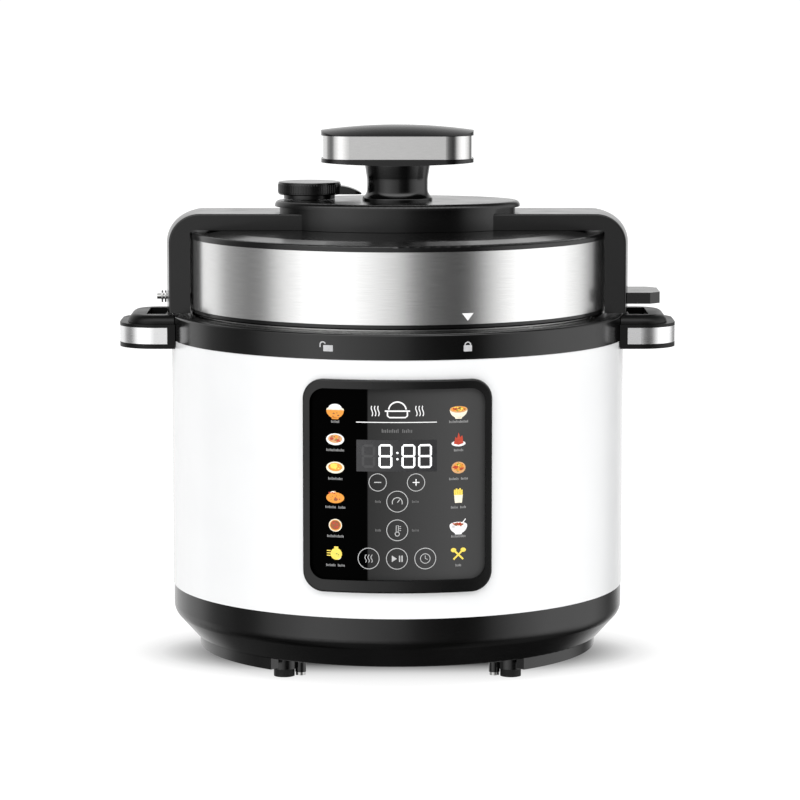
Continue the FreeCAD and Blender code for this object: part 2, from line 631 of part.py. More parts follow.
def build_base_cover():
    """Black moulding under the shell, with side skids, foot bosses and screw posts."""
    wall_r = "(body_r - base_step)"
    taper_r = "(body_r - base_taper)"
    knee = "(base_clearance + base_taper_height)"
    spigot_r = f"({SHELL_IN} - fit_gap)"
    cup = revolved(
        "base_cup",
        [
            ("0", "base_clearance"),
            (taper_r, "base_clearance"),
            (wall_r, knee),
            (wall_r, BASE_TOP),
            (spigot_r, BASE_TOP),
            (spigot_r, f"{BASE_TOP} + spigot_height"),
            (f"{spigot_r} - base_wall", f"{BASE_TOP} + spigot_height"),
            (f"{spigot_r} - base_wall", f"{knee} + 1"),
            (f"{taper_r} - base_wall", BASE_FLOOR),
            ("0", BASE_FLOOR),
        ],
        rounds=[(2, "base_round"), (1, "base_wall")],
    )
    solids = [cup]
    skid_r = f"({taper_r} - base_wall)"
    for side, turn in (("right", "0"), ("left", "180")):
        solids.append(
            sector(f"skid_{side}", f"{skid_r} - skid_width", skid_r, "base_clearance - skid_height",
                   f"{BASE_FLOOR} - 1", f"{turn} - skid_angle / 2", "skid_angle")
        )
    holes = []
    for n, (x_sign, y_sign) in enumerate(CORNERS, start=1):
        x, y = f"{x_sign} * foot_x", f"{y_sign} * foot_y"
        post_x = f"{x_sign} * (foot_x - post_inset)"
        solids.append(cylinder(f"foot_boss_{n}", "foot_boss_r", "foot_height", BASE_FLOOR, x, y))
        solids.append(cylinder(f"screw_post_{n}", "post_r", "post_clearance", BASE_FLOOR, post_x, y))
        holes.append(cylinder(f"foot_hole_{n}", "foot_plug_r + slip_gap", "foot_height - 1",
                              "foot_height + foot_plug_length + fit_gap", x, y))
        holes.append(cylinder(f"post_hole_{n}", "screw_r + slip_gap", "0", f"{BASE_FLOOR} + 1", post_x, y))
    for n in range(-2, 3):
        middle = f"{n} * vent_pitch"
        holes.append(box(f"vent_{n + 3}", ("-vent_length / 2", "vent_length / 2"),
                         (f"{middle} - vent_width / 2", f"{middle} + vent_width / 2"),
                         ("base_clearance - 1", f"{BASE_FLOOR} + 1")))
    finished(cut("base_cover_cut", fuse("base_cover_fuse", *solids), *holes), "base_cover")


def build_feet():
    """Four rubber feet pushed into the base, and the screws beside them."""
    screws = []
    for n, (x_sign, y_sign) in enumerate(CORNERS, start=1):
        x, y = f"{x_sign} * foot_x", f"{y_sign} * foot_y"
        post_x = f"{x_sign} * (foot_x - post_inset)"
        pad = cylinder(f"foot_pad_{n}", "foot_r", "0", "foot_height", x, y)
        plug = cylinder(f"foot_plug_{n}", "foot_plug_r", "foot_height - 1",
                        "foot_height + foot_plug_length", x, y)
        finished(fuse(f"foot_{n}", pad, plug), f"rubber_foot_{n}")
        head = cylinder(f"base_screw_head_{n}", "screw_head_r", "post_clearance - screw_head",
                        "post_clearance", post_x, y)
        shank = cylinder(f"base_screw_shank_{n}", "screw_r", "post_clearance - 1",
                         "post_clearance - screw_head + base_screw_length", post_x, y)
        screws.append(fuse(f"base_screw_{n}", head, shank))
    finished(group("base_screw_group", *screws), "base_screws")


# ---------------------------------------------------------------- shell and collar

def panel_window(name, margin, low, high, corner):
    """Block through the shell behind the control panel, smaller than the frame by a margin."""
    left = f"-panel_half + {margin}"
    bottom = f"{BASE_TOP} + panel_rise + {margin}"
    top = f"{BASE_TOP} + panel_rise + panel_height - ({margin})"
    return rounded_box(name, (left, f"-({left})"), (low, high), (bottom, top), corner, along="y")


INLET_Z = f"({BASE_TOP} + inlet_rise)"
CUP_TOP = f"({SHELL_TOP} - cup_drop - holder_wall - cup_headroom)"
CUP_BOTTOM = f"({CUP_TOP} - cup_height)"
HOLDER_HALF = "(cup_half + cup_gap + holder_wall)"
HOLDER_Z = (f"{CUP_BOTTOM} - cup_gap - holder_wall", f"{SHELL_TOP} - cup_drop")


def build_shell():
    """White sheet-metal shell with openings for the panel, the inlet and the cup holder."""
    sheet_tube = tube("shell_tube", "body_r", SHELL_IN, BASE_TOP, SHELL_TOP)
    front = panel_window("shell_panel_window", "panel_flange - fit_gap", "-body_r - 5", "-body_r / 2",
                         "panel_corner - panel_flange")
    inlet = box("shell_inlet_window", ("-inlet_half - fit_gap", "inlet_half + fit_gap"),
                ("body_r / 2", "body_r + 5"),
                (f"{INLET_Z} - inlet_half_height - fit_gap", f"{INLET_Z} + inlet_half_height + fit_gap"))
    cup = box("shell_cup_window", (f"-{HOLDER_HALF} - fit_gap", f"{HOLDER_HALF} + fit_gap"),
              ("body_r / 2", "body_r + 5"),
              (f"{HOLDER_Z[0]} - fit_gap", f"{HOLDER_Z[1]} + fit_gap"))
    finished(cut("shell_cut", sheet_tube, front, inlet, cup), "outer_shell")


GUTTER_OUT = f"({PLATE_R} + gutter_gap)"
GUTTER_IN = f"({RING_R} - 1)"
LUG_START = 90.0
FINGER_MIDDLE = f"({LUG_START} - lug_angle / 2 - finger_gap - finger_angle / 2)"
FINGER_IN = f"({RING_R} + 1.5)"
HANDLE_SCREW_Z = f"({COLLAR_TOP} - handle_screw_drop)"


def build_collar():
    """Black ring on top of the shell: a gutter around the lip that carries the outer pot."""
    spigot_r = f"({SHELL_IN} - fit_gap)"
    lip_in = f"{JACKET_R} + fit_gap"
    ring = revolved(
        "collar_ring",
        [
            (COLLAR_R, SHELL_TOP),
            (COLLAR_R, COLLAR_TOP),
            (GUTTER_OUT, COLLAR_TOP),
            (GUTTER_OUT, COLLAR_FLOOR),
            (GUTTER_IN, COLLAR_FLOOR),
            (GUTTER_IN, FLANGE_UNDER),
            (lip_in, FLANGE_UNDER),
            (lip_in, SHELL_TOP),
            (f"{spigot_r} - collar_wall", SHELL_TOP),
            (f"{spigot_r} - collar_wall", f"{SHELL_TOP} - spigot_height"),
            (spigot_r, f"{SHELL_TOP} - spigot_height"),
            (spigot_r, SHELL_TOP),
        ],
        rounds=[(1, "collar_round"), (2, "gutter_round")],
    )
    slot = sector("finger_slot", f"{FINGER_IN} - fit_gap", f"{FINGER_IN} + finger_width + fit_gap",
                  f"{SHELL_TOP} - 1", f"{COLLAR_FLOOR} + 1",
                  f"{FINGER_MIDDLE} - finger_angle / 2 - lid_turn - slot_play",
                  "finger_angle + lid_turn + 2 * slot_play")
    drain = cylinder("drain_hole", "screw_r", f"{SHELL_TOP} - 1", f"{COLLAR_FLOOR} + 1", "0",
                     f"{GUTTER_OUT} - drain_inset")
    holes = [slot, drain]
    for n, (x_sign, y_sign) in enumerate(CORNERS, start=1):
        ends = (f"{GUTTER_OUT} - 6", "body_r + 5") if x_sign > 0 else ("-body_r - 5", f"6 - {GUTTER_OUT}")
        holes.append(rod(f"collar_screw_hole_{n}", "screw_r + slip_gap", "x", *ends,
                         f"{y_sign} * handle_screw_y", HANDLE_SCREW_Z))
        seat = f"{GUTTER_OUT} + screw_head + 0.5"
        ends = (f"{GUTTER_OUT} - 6", seat) if x_sign > 0 else (f"-({seat})", f"6 - {GUTTER_OUT}")
        holes.append(rod(f"collar_screw_seat_{n}", "screw_head_r + 0.5", "x", *ends,
                         f"{y_sign} * handle_screw_y", HANDLE_SCREW_Z))
    finished(cut("collar_cut", ring, *holes), "collar")


def build_handles():
    """Side handles, each with a slot that parks the lid and a metal trim let into its edge."""
    under = f"({SHELL_TOP} - handle_drop)"
    flange = f"({under} + handle_flange)"
    reach = "(body_r + handle_reach)"
    root = "(body_r - 2 * handle_corner)"
    clear_body = cylinder("handle_clearance", f"{COLLAR_R} + fit_gap", f"{under} - 5", f"{COLLAR_TOP} + 5")
    outline = rounded_box("handle_outline", (root, reach), ("-handle_half", "handle_half"),
                          (under, flange), "handle_corner")
    inset = rounded_box("handle_inset", (f"{root} - trim_wall", f"{reach} - trim_wall"),
                        ("trim_wall - handle_half", "handle_half - trim_wall"),
                        (f"{under} - 1", f"{flange} + 1"), "handle_corner - trim_wall")
    boss = rounded_box("handle_boss", (root, "body_r + boss_reach"), ("-boss_half", "boss_half"),
                       (f"{flange} - 1", COLLAR_TOP), "boss_corner")
    boss = rounded_edges("handle_boss_round", boss, "boss_round",
                         lambda edge: edge.BoundBox.ZMin > value(COLLAR_TOP) - 0.01)
    slot = rounded_box("handle_slot", ("body_r + slot_inset", "body_r + slot_inset + slot_width"),
                       ("-slot_half", "slot_half"), (f"{COLLAR_TOP} - slot_depth", f"{COLLAR_TOP} + 1"),
                       "slot_corner")
    trim_z = (f"{under} + trim_inset", f"{under} + trim_inset + trim_height")
    trim_zone = box("trim_zone", ("body_r + trim_start", f"{reach} + 1"),
                    ("-handle_half - 1", "handle_half + 1"), trim_z)
    groove_zone = box("groove_zone", ("body_r + trim_start - slip_gap", f"{reach} + 1"),
                      ("-handle_half - 1", "handle_half + 1"),
                      (f"{trim_z[0]} - slip_gap", f"{trim_z[1]} + slip_gap"))
    groove = cut("handle_groove", common("groove_block", outline, groove_zone), inset)
    holes = [clear_body, slot, groove]
    for side, y_sign in (("front", -1), ("rear", 1)):
        holes.append(rod(f"handle_screw_hole_{side}", "screw_r + slip_gap", "x", "body_r - 15",
                         f"{GUTTER_OUT} + handle_screw_length + 3", f"{y_sign} * handle_screw_y",
                         HANDLE_SCREW_Z))
    handle = cut("handle_cut", fuse("handle_solid", outline, boss), *holes)
    trim = cut("trim_cut", common("trim_block", outline, trim_zone), inset)
    finished(handle, "handle_right")
    finished(trim, "handle_trim_right")
    finished(mirrored("handle_mirror", handle, Vector(1, 0, 0)), "handle_left")
    finished(mirrored("trim_mirror", trim, Vector(1, 0, 0)), "handle_trim_left")
    screws = []
    for n, (x_sign, y_sign) in enumerate(CORNERS, start=1):
        near = f"({GUTTER_OUT} - 1)"
        seat = f"({near} + screw_head)"
        tip = f"({near} + handle_screw_length)"
        head_ends = (near, seat) if x_sign > 0 else (f"-{seat}", f"-{near}")
        shank_ends = (near, tip) if x_sign > 0 else (f"-{tip}", f"-{near}")
        y = f"{y_sign} * handle_screw_y"
        head = rod(f"handle_screw_head_{n}", "screw_head_r", "x", *head_ends, y, HANDLE_SCREW_Z)
        shank = rod(f"handle_screw_shank_{n}", "screw_r", "x", *shank_ends, y, HANDLE_SCREW_Z)
        screws.append(fuse(f"handle_screw_{n}", head, shank))
    finished(group("handle_screw_group", *screws), "handle_screws")


# ---------------------------------------------------------------- pots and heating

def lugs(name, inner, outer, bottom, top):
    """Ring of bayonet lugs."""
    count = int(value("lug_count"))
    return [
        sector(f"{name}_{n + 1}", inner, outer, bottom, top,
               f"{LUG_START + FULL_TURN * n / count} - lug_angle / 2", "lug_angle")
        for n in range(count)
    ]


def build_outer_pot():
    """Pressure housing: a cup with a flange of bayonet lugs."""
    cup = revolved(
        "outer_pot_cup",
        [
            ("0", JACKET_UNDER),
            (JACKET_R, JACKET_UNDER),
            (JACKET_R, FLANGE_UNDER),
            (RING_R, FLANGE_UNDER),
            (RING_R, FLANGE_TOP),
            (JACKET_IN, FLANGE_TOP),
            (JACKET_IN, JACKET_FLOOR),
            ("0", JACKET_FLOOR),
        ],
        rounds=[(1, "jacket_round"), (6, "jacket_round - jacket_wall")],
    )
    teeth = lugs("pot_lug", f"{RING_R} - 1", LUG_R, FLANGE_UNDER, FLANGE_TOP)
    holes = [cylinder("sensor_hole", "coil_r + 3", f"{JACKET_UNDER} - 1", f"{JACKET_FLOOR} + 1")]
    for side, sign in (("right", 1), ("left", -1)):
        holes.append(cylinder(f"terminal_hole_{side}", "terminal_r + 1", f"{JACKET_UNDER} - 1",
                              f"{JACKET_FLOOR} + 1", f"{sign} * terminal_x"))
    finished(cut("outer_pot_cut", fuse("outer_pot_fuse", cup, *teeth), *holes), "outer_pot")


def build_inner_pot():
    """Removable cooking pot whose rim rests on the outer pot's flange."""
    inside = f"({POT_R} - pot_wall)"
    rim_r = f"({POT_R} + pot_rim)"
    finished(
        revolved(
            "inner_pot_cup",
            [
                ("0", POT_UNDER),
                (POT_R, POT_UNDER),
                (POT_R, FLANGE_TOP),
                (rim_r, FLANGE_TOP),
                (rim_r, POT_RIM_TOP),
                (inside, POT_RIM_TOP),
                (inside, f"{POT_UNDER} + pot_wall"),
                ("0", f"{POT_UNDER} + pot_wall"),
            ],
            rounds=[(1, "pot_round"), (6, "pot_round - pot_wall"), (5, "pot_rim_round")],
        ),
        "inner_pot",
    )


def build_heating():
    """Cast heating plate with two terminals, posts under the outer pot and the heat shield."""
    disc = tube("heater_disc", "heater_r", "heater_hole_r", JACKET_FLOOR, HEATER_TOP)
    terminals = [
        cylinder(f"terminal_{side}", "terminal_r", f"{JACKET_UNDER} - terminal_length",
                 f"{JACKET_FLOOR} + 1", f"{sign} * terminal_x")
        for side, sign in (("right", 1), ("left", -1))
    ]
    finished(fuse("heater_fuse", disc, *terminals), "heating_plate")
    posts = []
    for n, angle in enumerate((90, 210, 330), start=1):
        x = f"pot_post_circle * cos({angle} deg)"
        y = f"pot_post_circle * sin({angle} deg)"
        posts.append(cylinder(f"pot_post_{n}", "pot_post_r", BASE_FLOOR, JACKET_UNDER, x, y))
    finished(group("pot_post_group", *posts), "pot_posts")
    finished(tube("shield_tube", SHIELD_R, f"{SHIELD_R} - shield_wall", BASE_FLOOR, SHIELD_TOP),
             "heat_shield")


def build_sensor():
    """Sprung temperature sensor in the middle of the heating plate."""
    cap_top = f"({POT_UNDER} - sensor_gap)"
    cap_under = f"({cap_top} - sensor_cap)"
    cap = cylinder("sensor_cap_disc", "sensor_r", cap_under, cap_top)
    stem = cylinder("sensor_stem_rod", "sensor_stem_r", f"{cap_top} - sensor_stem", f"{cap_top} - 1")
    finished(fuse("sensor_fuse", cap, stem), "temperature_sensor")
    finished(tube("sensor_holder_ring", "holder_r", "sensor_stem_r + fit_gap",
                  f"{JACKET_UNDER} - holder_thick", JACKET_UNDER), "sensor_holder")
    spring = coil("sensor_coil", "coil_r", "coil_wire_r", "coil_turns", f"({cap_under} - {JACKET_UNDER})")
    finished(place(spring, z=JACKET_UNDER), "sensor_spring")


def build_pressure_switch():
    """Leaf spring under the outer pot and the switch that it presses when the pot is forced down."""
    leaf_top = f"({JACKET_UNDER} - leaf_drop)"
    leaf_under = f"({leaf_top} - leaf_thick)"
    strip = box("leaf_strip", ("-leaf_half", "leaf_half"), ("-leaf_width / 2", "leaf_width / 2"),
                (leaf_under, leaf_top))
    studs = [
        cylinder(f"leaf_stud_{side}", "leaf_stud_r", leaf_under, JACKET_UNDER, f"{sign} * (leaf_half - 5)")
        for side, sign in (("right", 1), ("left", -1))
    ]
    hole = cylinder("leaf_hole", "sensor_stem_r + 2", f"{leaf_under} - 1", f"{leaf_top} + 1")
    finished(cut("leaf_cut", fuse("leaf_fuse", strip, *studs), hole), "leaf_spring")
    housing_top = f"({leaf_under} - switch_button - sensor_gap)"
    housing = box("switch_housing", ("-switch_x - switch_length / 2", "-switch_x + switch_length / 2"),
                  ("-switch_width / 2", "switch_width / 2"), (BASE_FLOOR, housing_top))
    button = cylinder("switch_button_pin", "switch_button_r", f"{housing_top} - 1",
                      f"{leaf_under} - sensor_gap", "-switch_x")
    finished(fuse("switch_fuse", housing, button), "pressure_switch")


def build_power_board():
    """Power circuit board on posts, with its relay, transformer and capacitor."""
    left, right = "power_board_x", "(power_board_x + power_board_length)"
    front, back = "(-power_board_width / 2)", "(power_board_width / 2)"
    under = f"({BASE_FLOOR} + board_lift)"
    top = f"({under} + board_thick)"
    board = box("power_board_sheet", (left, right), (front, back), (under, top))
    posts = []
    for n, (x, y) in enumerate(((left, front), (left, back), (right, front), (right, back)), start=1):
        x_in = f"{x} + 6" if x == left else f"{x} - 6"
        y_in = f"{y} + 6" if y == front else f"{y} - 6"
        posts.append(cylinder(f"board_post_{n}", "standoff_r", BASE_FLOOR, under, x_in, y_in))
    finished(fuse("power_board_fuse", board, *posts), "power_board")
    relay = box("relay_block", (f"{left} + 14", f"{left} + 34"), (f"{back} - 20", f"{back} - 6"),
                (top, f"{top} + part_height"))
    transformer = box("transformer_block", (f"{left} + 12", f"{left} + 38"),
                      (f"{front} + 8", f"{front} + 26"), (top, f"{top} + part_height"))
    capacitor = cylinder("capacitor_can", "4", top, f"{top} + part_height", f"{right} - 12", "0")
    finished(group("power_parts_group", relay, transformer, capacitor), "power_parts")


def build_inlet():
    """Mains inlet at the lower rear: housing with a socket, and three blades."""
    face = "(body_r + inlet_proud)"
    housing = box("inlet_housing", ("-inlet_half", "inlet_half"), (f"{face} - inlet_depth", face),
                  (f"{INLET_Z} - inlet_half_height", f"{INLET_Z} + inlet_half_height"))
    flange = rounded_box("inlet_flange_block", ("-inlet_half - inlet_flange", "inlet_half + inlet_flange"),
                         ("body_r - 8", face),
                         (f"{INLET_Z} - inlet_half_height - inlet_flange",
                          f"{INLET_Z} + inlet_half_height + inlet_flange"), "inlet_corner", along="y")
    flange = cut("inlet_flange_cut", flange,
                 cylinder("inlet_seat", "body_r + slip_gap", BASE_TOP, f"{INLET_Z} + 40"))
    socket = rounded_box("inlet_socket", ("-socket_half", "socket_half"),
                         (f"{face} - socket_depth", f"{face} + 1"),
                         (f"{INLET_Z} - socket_half_height", f"{INLET_Z} + socket_half_height"),
                         "socket_corner", along="y")
    blades = []
    slots = []
    for n, (x, z) in enumerate((("-blade_spacing", "-2"), ("0", "2"), ("blade_spacing", "-2")), start=1):
        spans = ((f"{x} - 1", f"{x} + 1"), (f"{face} - inlet_depth - 1.5", f"{face} - 3"),
                 (f"{INLET_Z} + {z} - 2", f"{INLET_Z} + {z} + 2"))
        blades.append(box(f"blade_{n}", *spans))
        slots.append(box(f"blade_slot_{n}", *spans))
    finished(cut("inlet_cut", fuse("inlet_fuse", housing, flange), socket, *slots), "power_inlet")
    finished(group("blade_group", *blades), "inlet_blades")


# ---------------------------------------------------------------- condensation cup

def build_cup():
    """Holder let into the rear of the shell, and the cup that slides out of it."""
    back = "(body_r - shell_wall - holder_depth)"
    liner = common(
        "holder_liner",
        box("holder_block", (f"-{HOLDER_HALF}", HOLDER_HALF), (back, "body_r + 2"), HOLDER_Z),
        cylinder("holder_reach", "body_r + flange_proud", BASE_TOP, SHELL_TOP),
    )
    rim = rounded_box("holder_rim", (f"-{HOLDER_HALF} - holder_flange", f"{HOLDER_HALF} + holder_flange"),
                      ("body_r / 2", "body_r + 5"),
                      (f"{HOLDER_Z[0]} - holder_flange", f"{HOLDER_Z[1]} + holder_flange"),
                      "holder_corner", along="y")
    flange = common("holder_flange_ring", rim,
                    tube("holder_flange_tube", "body_r + flange_proud", "body_r + slip_gap",
                         BASE_TOP, SHELL_TOP))
    inside = box("holder_inside", ("-cup_half - cup_gap", "cup_half + cup_gap"),
                 (f"{back} + holder_wall", "body_r + 5"),
                 (f"{CUP_BOTTOM} - cup_gap", f"{CUP_TOP} + cup_headroom"))
    finished(cut("holder_cut", fuse("holder_fuse", liner, flange), inside), "cup_holder")
    front = "(body_r + cup_proud)"
    rear = f"({back} + holder_wall + cup_gap)"
    block = rounded_box("cup_block", ("-cup_half", "cup_half"), (rear, front), (CUP_BOTTOM, CUP_TOP),
                        "holder_corner")
    hollow = rounded_box("cup_hollow", ("cup_wall - cup_half", "cup_half - cup_wall"),
                         (f"{rear} + cup_wall", f"{front} - cup_wall"),
                         (f"{CUP_BOTTOM} + cup_wall", f"{CUP_TOP} + 1"), "5 - cup_wall")
    finished(cut("cup_cut", block, hollow), "condensation_cup")


# ---------------------------------------------------------------- control panel

PANEL_BOTTOM = f"({BASE_TOP} + panel_rise)"
TOUCH_BOTTOM = f"({PANEL_BOTTOM} + panel_bottom)"
TOUCH_TOP = f"({PANEL_BOTTOM} + panel_height - panel_top)"
TOUCH_HALF = "(panel_half - panel_side)"
PANEL_R = "(body_r + panel_proud)"
TOUCH_R = f"({PANEL_R} - touch_recess)"
TRAY_R = f"({TOUCH_R} - touch_thick)"
DISPLAY_BOTTOM = f"({TOUCH_BOTTOM} + display_rise)"
CONTROL_BACK = f"({SHIELD_R} + control_gap)"
CONTROL_FRONT = f"({CONTROL_BACK} + board_thick)"


def ring_wall(name, inner, outer):
    """Tube as tall as the shell, for curved panels."""
    return tube(name, outer, inner, BASE_TOP, SHELL_TOP)


def build_panel():
    """Curved frame, touch panel, display and control board at the front."""
    front_span = ("-body_r - 10", "-body_r / 2")
    outline = rounded_box("panel_outline", ("-panel_half", "panel_half"), front_span,
                          (PANEL_BOTTOM, f"{PANEL_BOTTOM} + panel_height"), "panel_corner", along="y")
    face = common("panel_face", outline, ring_wall("panel_face_wall", "body_r + slip_gap", PANEL_R))
    face = rounded_edges(
        "panel_face_round", face, "panel_round",
        lambda edge: min(math.hypot(v.X, v.Y) for v in edge.Vertexes) > value(PANEL_R) - 0.01)
    mid = panel_window("panel_mid", "panel_flange", *front_span, "panel_corner - panel_flange")
    tray = common("panel_tray", mid,
                  ring_wall("panel_tray_wall", f"{TRAY_R} - tray_thick", "body_r + slip_gap + 0.5"))
    recess = rounded_box("touch_recess_block", (f"-{TOUCH_HALF}", TOUCH_HALF), front_span,
                         (TOUCH_BOTTOM, TOUCH_TOP), "touch_corner", along="y")
    pocket = common("touch_pocket", recess, ring_wall("touch_pocket_wall", TRAY_R, f"{PANEL_R} + 5"))
    window = box("display_window", ("-display_half - 0.5", "display_half + 0.5"), front_span,
                 (f"{DISPLAY_BOTTOM} - 0.5", f"{DISPLAY_BOTTOM} + display_height + 0.5"))
    control_bottom = f"({TOUCH_BOTTOM} + 8)"
    control_top = f"({control_bottom} + control_height)"
    posts = []
    for n, (x_sign, z) in enumerate(((-1, f"{control_bottom} + 5"), (1, f"{control_bottom} + 5"),
                                     (-1, f"{control_top} - 5"), (1, f"{control_top} - 5")), start=1):
        posts.append(rod(f"standoff_{n}", "standoff_r", "y", f"-({CONTROL_FRONT} + 5)", f"-{CONTROL_FRONT}",
                         f"{x_sign} * (control_half - 5)", z))
    frame = cut("panel_frame_cut", fuse("panel_frame_fuse", face, tray), pocket, window)
    finished(fuse("panel_frame_posts", frame, *posts), "panel_frame")
    pane = rounded_box("touch_block", (f"slip_gap - {TOUCH_HALF}", f"{TOUCH_HALF} - slip_gap"), front_span,
                       (f"{TOUCH_BOTTOM} + slip_gap", f"{TOUCH_TOP} - slip_gap"), "touch_corner", along="y")
    finished(common("touch_pane", pane, ring_wall("touch_wall", TRAY_R, TOUCH_R)), "touch_panel")
    display_front = f"(sqrt({TRAY_R} ^ 2 - display_half ^ 2) - display_gap)"
    finished(box("display_block", ("-display_half", "display_half"),
                 (f"-{display_front}", f"display_thick - {display_front}"),
                 (DISPLAY_BOTTOM, f"{DISPLAY_BOTTOM} + display_height")), "display")
    finished(box("control_sheet", ("-control_half", "control_half"),
                 (f"-{CONTROL_FRONT}", f"-{CONTROL_BACK}"), (control_bottom, control_top)), "control_board")


# ---------------------------------------------------------------- lock follower

def build_lock_follower():
    """Slider under the gutter whose finger the lid's lug turns, and the lid switch beside it."""
    top = f"({SHELL_TOP} - fit_gap)"
    inner = f"({FINGER_IN} - 1)"
    outer = f"({FINGER_IN} + finger_width + 1)"
    runner = sector("follower_runner", inner, outer, f"{top} - follower_thick", top,
                    f"{FINGER_MIDDLE} - follower_angle / 2", "follower_angle")
    finger = sector("follower_finger", FINGER_IN, f"{FINGER_IN} + finger_width", f"{top} - 1",
                    f"{LID_LUG_TOP} - fit_gap", f"{FINGER_MIDDLE} - finger_angle / 2", "finger_angle")
    finished(fuse("follower_fuse", runner, finger), "lock_follower")
    finished(sector("lid_switch_block", inner, outer, f"{top} - follower_thick", SHELL_TOP,
                    f"{FINGER_MIDDLE} + follower_angle / 2 + 1", "lid_switch_angle"), "lid_switch")


# ---------------------------------------------------------------- lid

DOME_R = f"({POT_R} - dome_inset)"
DOME_SHOULDER = f"({SEAT_UNDER} + dome_wall_rise)"
VALVE_CIRCLE = "sqrt(valve_x ^ 2 + valve_y ^ 2)"
DOME_FALL = f"({DOME_TOP} - {DOME_SHOULDER})"
PIPE_FLANGE_UNDER = (f"({DOME_TOP} - {DOME_FALL} * ({VALVE_CIRCLE} - pipe_flange_r)"
                     f" / ({DOME_R} + 1 - dome_draft) + fit_gap)")
PIPE_NUT_TOP = (f"({DOME_TOP} - plate_wall - {DOME_FALL} * ({VALVE_CIRCLE} + pipe_nut_r)"
                f" / ({DOME_R} - dome_draft) - pipe_nut_gap)")


def at_valve(sign=-1):
    """Steam valve's place."""
    return (f"{sign} * valve_x", "valve_y")


def build_pressure_plate():
    """Domed steel lid plate with inward bayonet lugs and the centre stud."""
    dome = revolved(
        "plate_dome",
        [
            ("0", f"{DOME_TOP} - plate_wall"),
            (f"{DOME_R} - dome_draft", f"{DOME_SHOULDER} - plate_wall"),
            (DOME_R, SEAT_UNDER),
            (PLATE_IN, SEAT_UNDER),
            (PLATE_IN, LID_LUG_UNDER),
            (PLATE_R, LID_LUG_UNDER),
            (PLATE_R, SEAT_TOP),
            (f"{DOME_R} + 1", SEAT_TOP),
            (f"{DOME_R} + 1 - dome_draft", DOME_SHOULDER),
            ("0", DOME_TOP),
        ],
        rounds=[(6, "plate_wall + 1"), (8, "dome_round"), (1, "seat_round")],
    )
    teeth = lugs("lid_lug", f"{RING_R} + 0.5", f"{PLATE_R} - 0.5", LID_LUG_UNDER, LID_LUG_TOP)
    stud = cylinder("centre_stud", "stud_r", f"{SEAT_UNDER} - inner_plate_drop - stud_tail",
                    f"{DOME_TOP} - plate_wall / 2")
    holes = [
        cylinder("plate_pipe_hole", "pipe_r + slip_gap", f"{SEAT_UNDER} + 2", f"{DOME_TOP} + 5", *at_valve()),
        cylinder("plate_float_hole", "float_r + float_gap", f"{SEAT_UNDER} + 2", f"{DOME_TOP} + 5",
                 "float_x", "float_y"),
    ]
    finished(cut("plate_cut", fuse("plate_fuse", dome, *teeth, stud), *holes), "pressure_plate")


def build_gasket():
    """Silicone seal, the removable inner plate that holds it, and that plate's nut."""
    gasket_in = f"({POT_R} - gasket_lip)"
    finished(tube("gasket_ring", f"{PLATE_IN} - gasket_gap", gasket_in, f"{POT_RIM_TOP} + gasket_gap",
                  SEAT_UNDER), "gasket")
    plate_under = f"({SEAT_UNDER} - inner_plate_drop)"
    plate_top = f"({plate_under} + inner_plate_wall)"
    rim_r = f"({gasket_in} - gasket_gap)"
    finished(
        revolved(
            "inner_plate_disc",
            [
                ("stud_r + 1", plate_under),
                (rim_r, plate_under),
                (rim_r, f"{plate_under} + inner_plate_lip"),
                (f"{rim_r} - inner_plate_wall", f"{plate_under} + inner_plate_lip"),
                (f"{rim_r} - inner_plate_wall", plate_top),
                ("stud_r + 1", plate_top),
            ],
        ),
        "inner_plate",
    )
    nut = cylinder("inner_nut_knob", "inner_nut_r", f"{plate_under} - inner_nut_height", plate_under)
    bore = cylinder("inner_nut_bore", "stud_r + slip_gap",
                    f"{plate_under} - inner_nut_height + inner_nut_floor", f"{plate_under} + 1")
    finished(cut("inner_nut_cut", nut, bore), "inner_plate_nut")


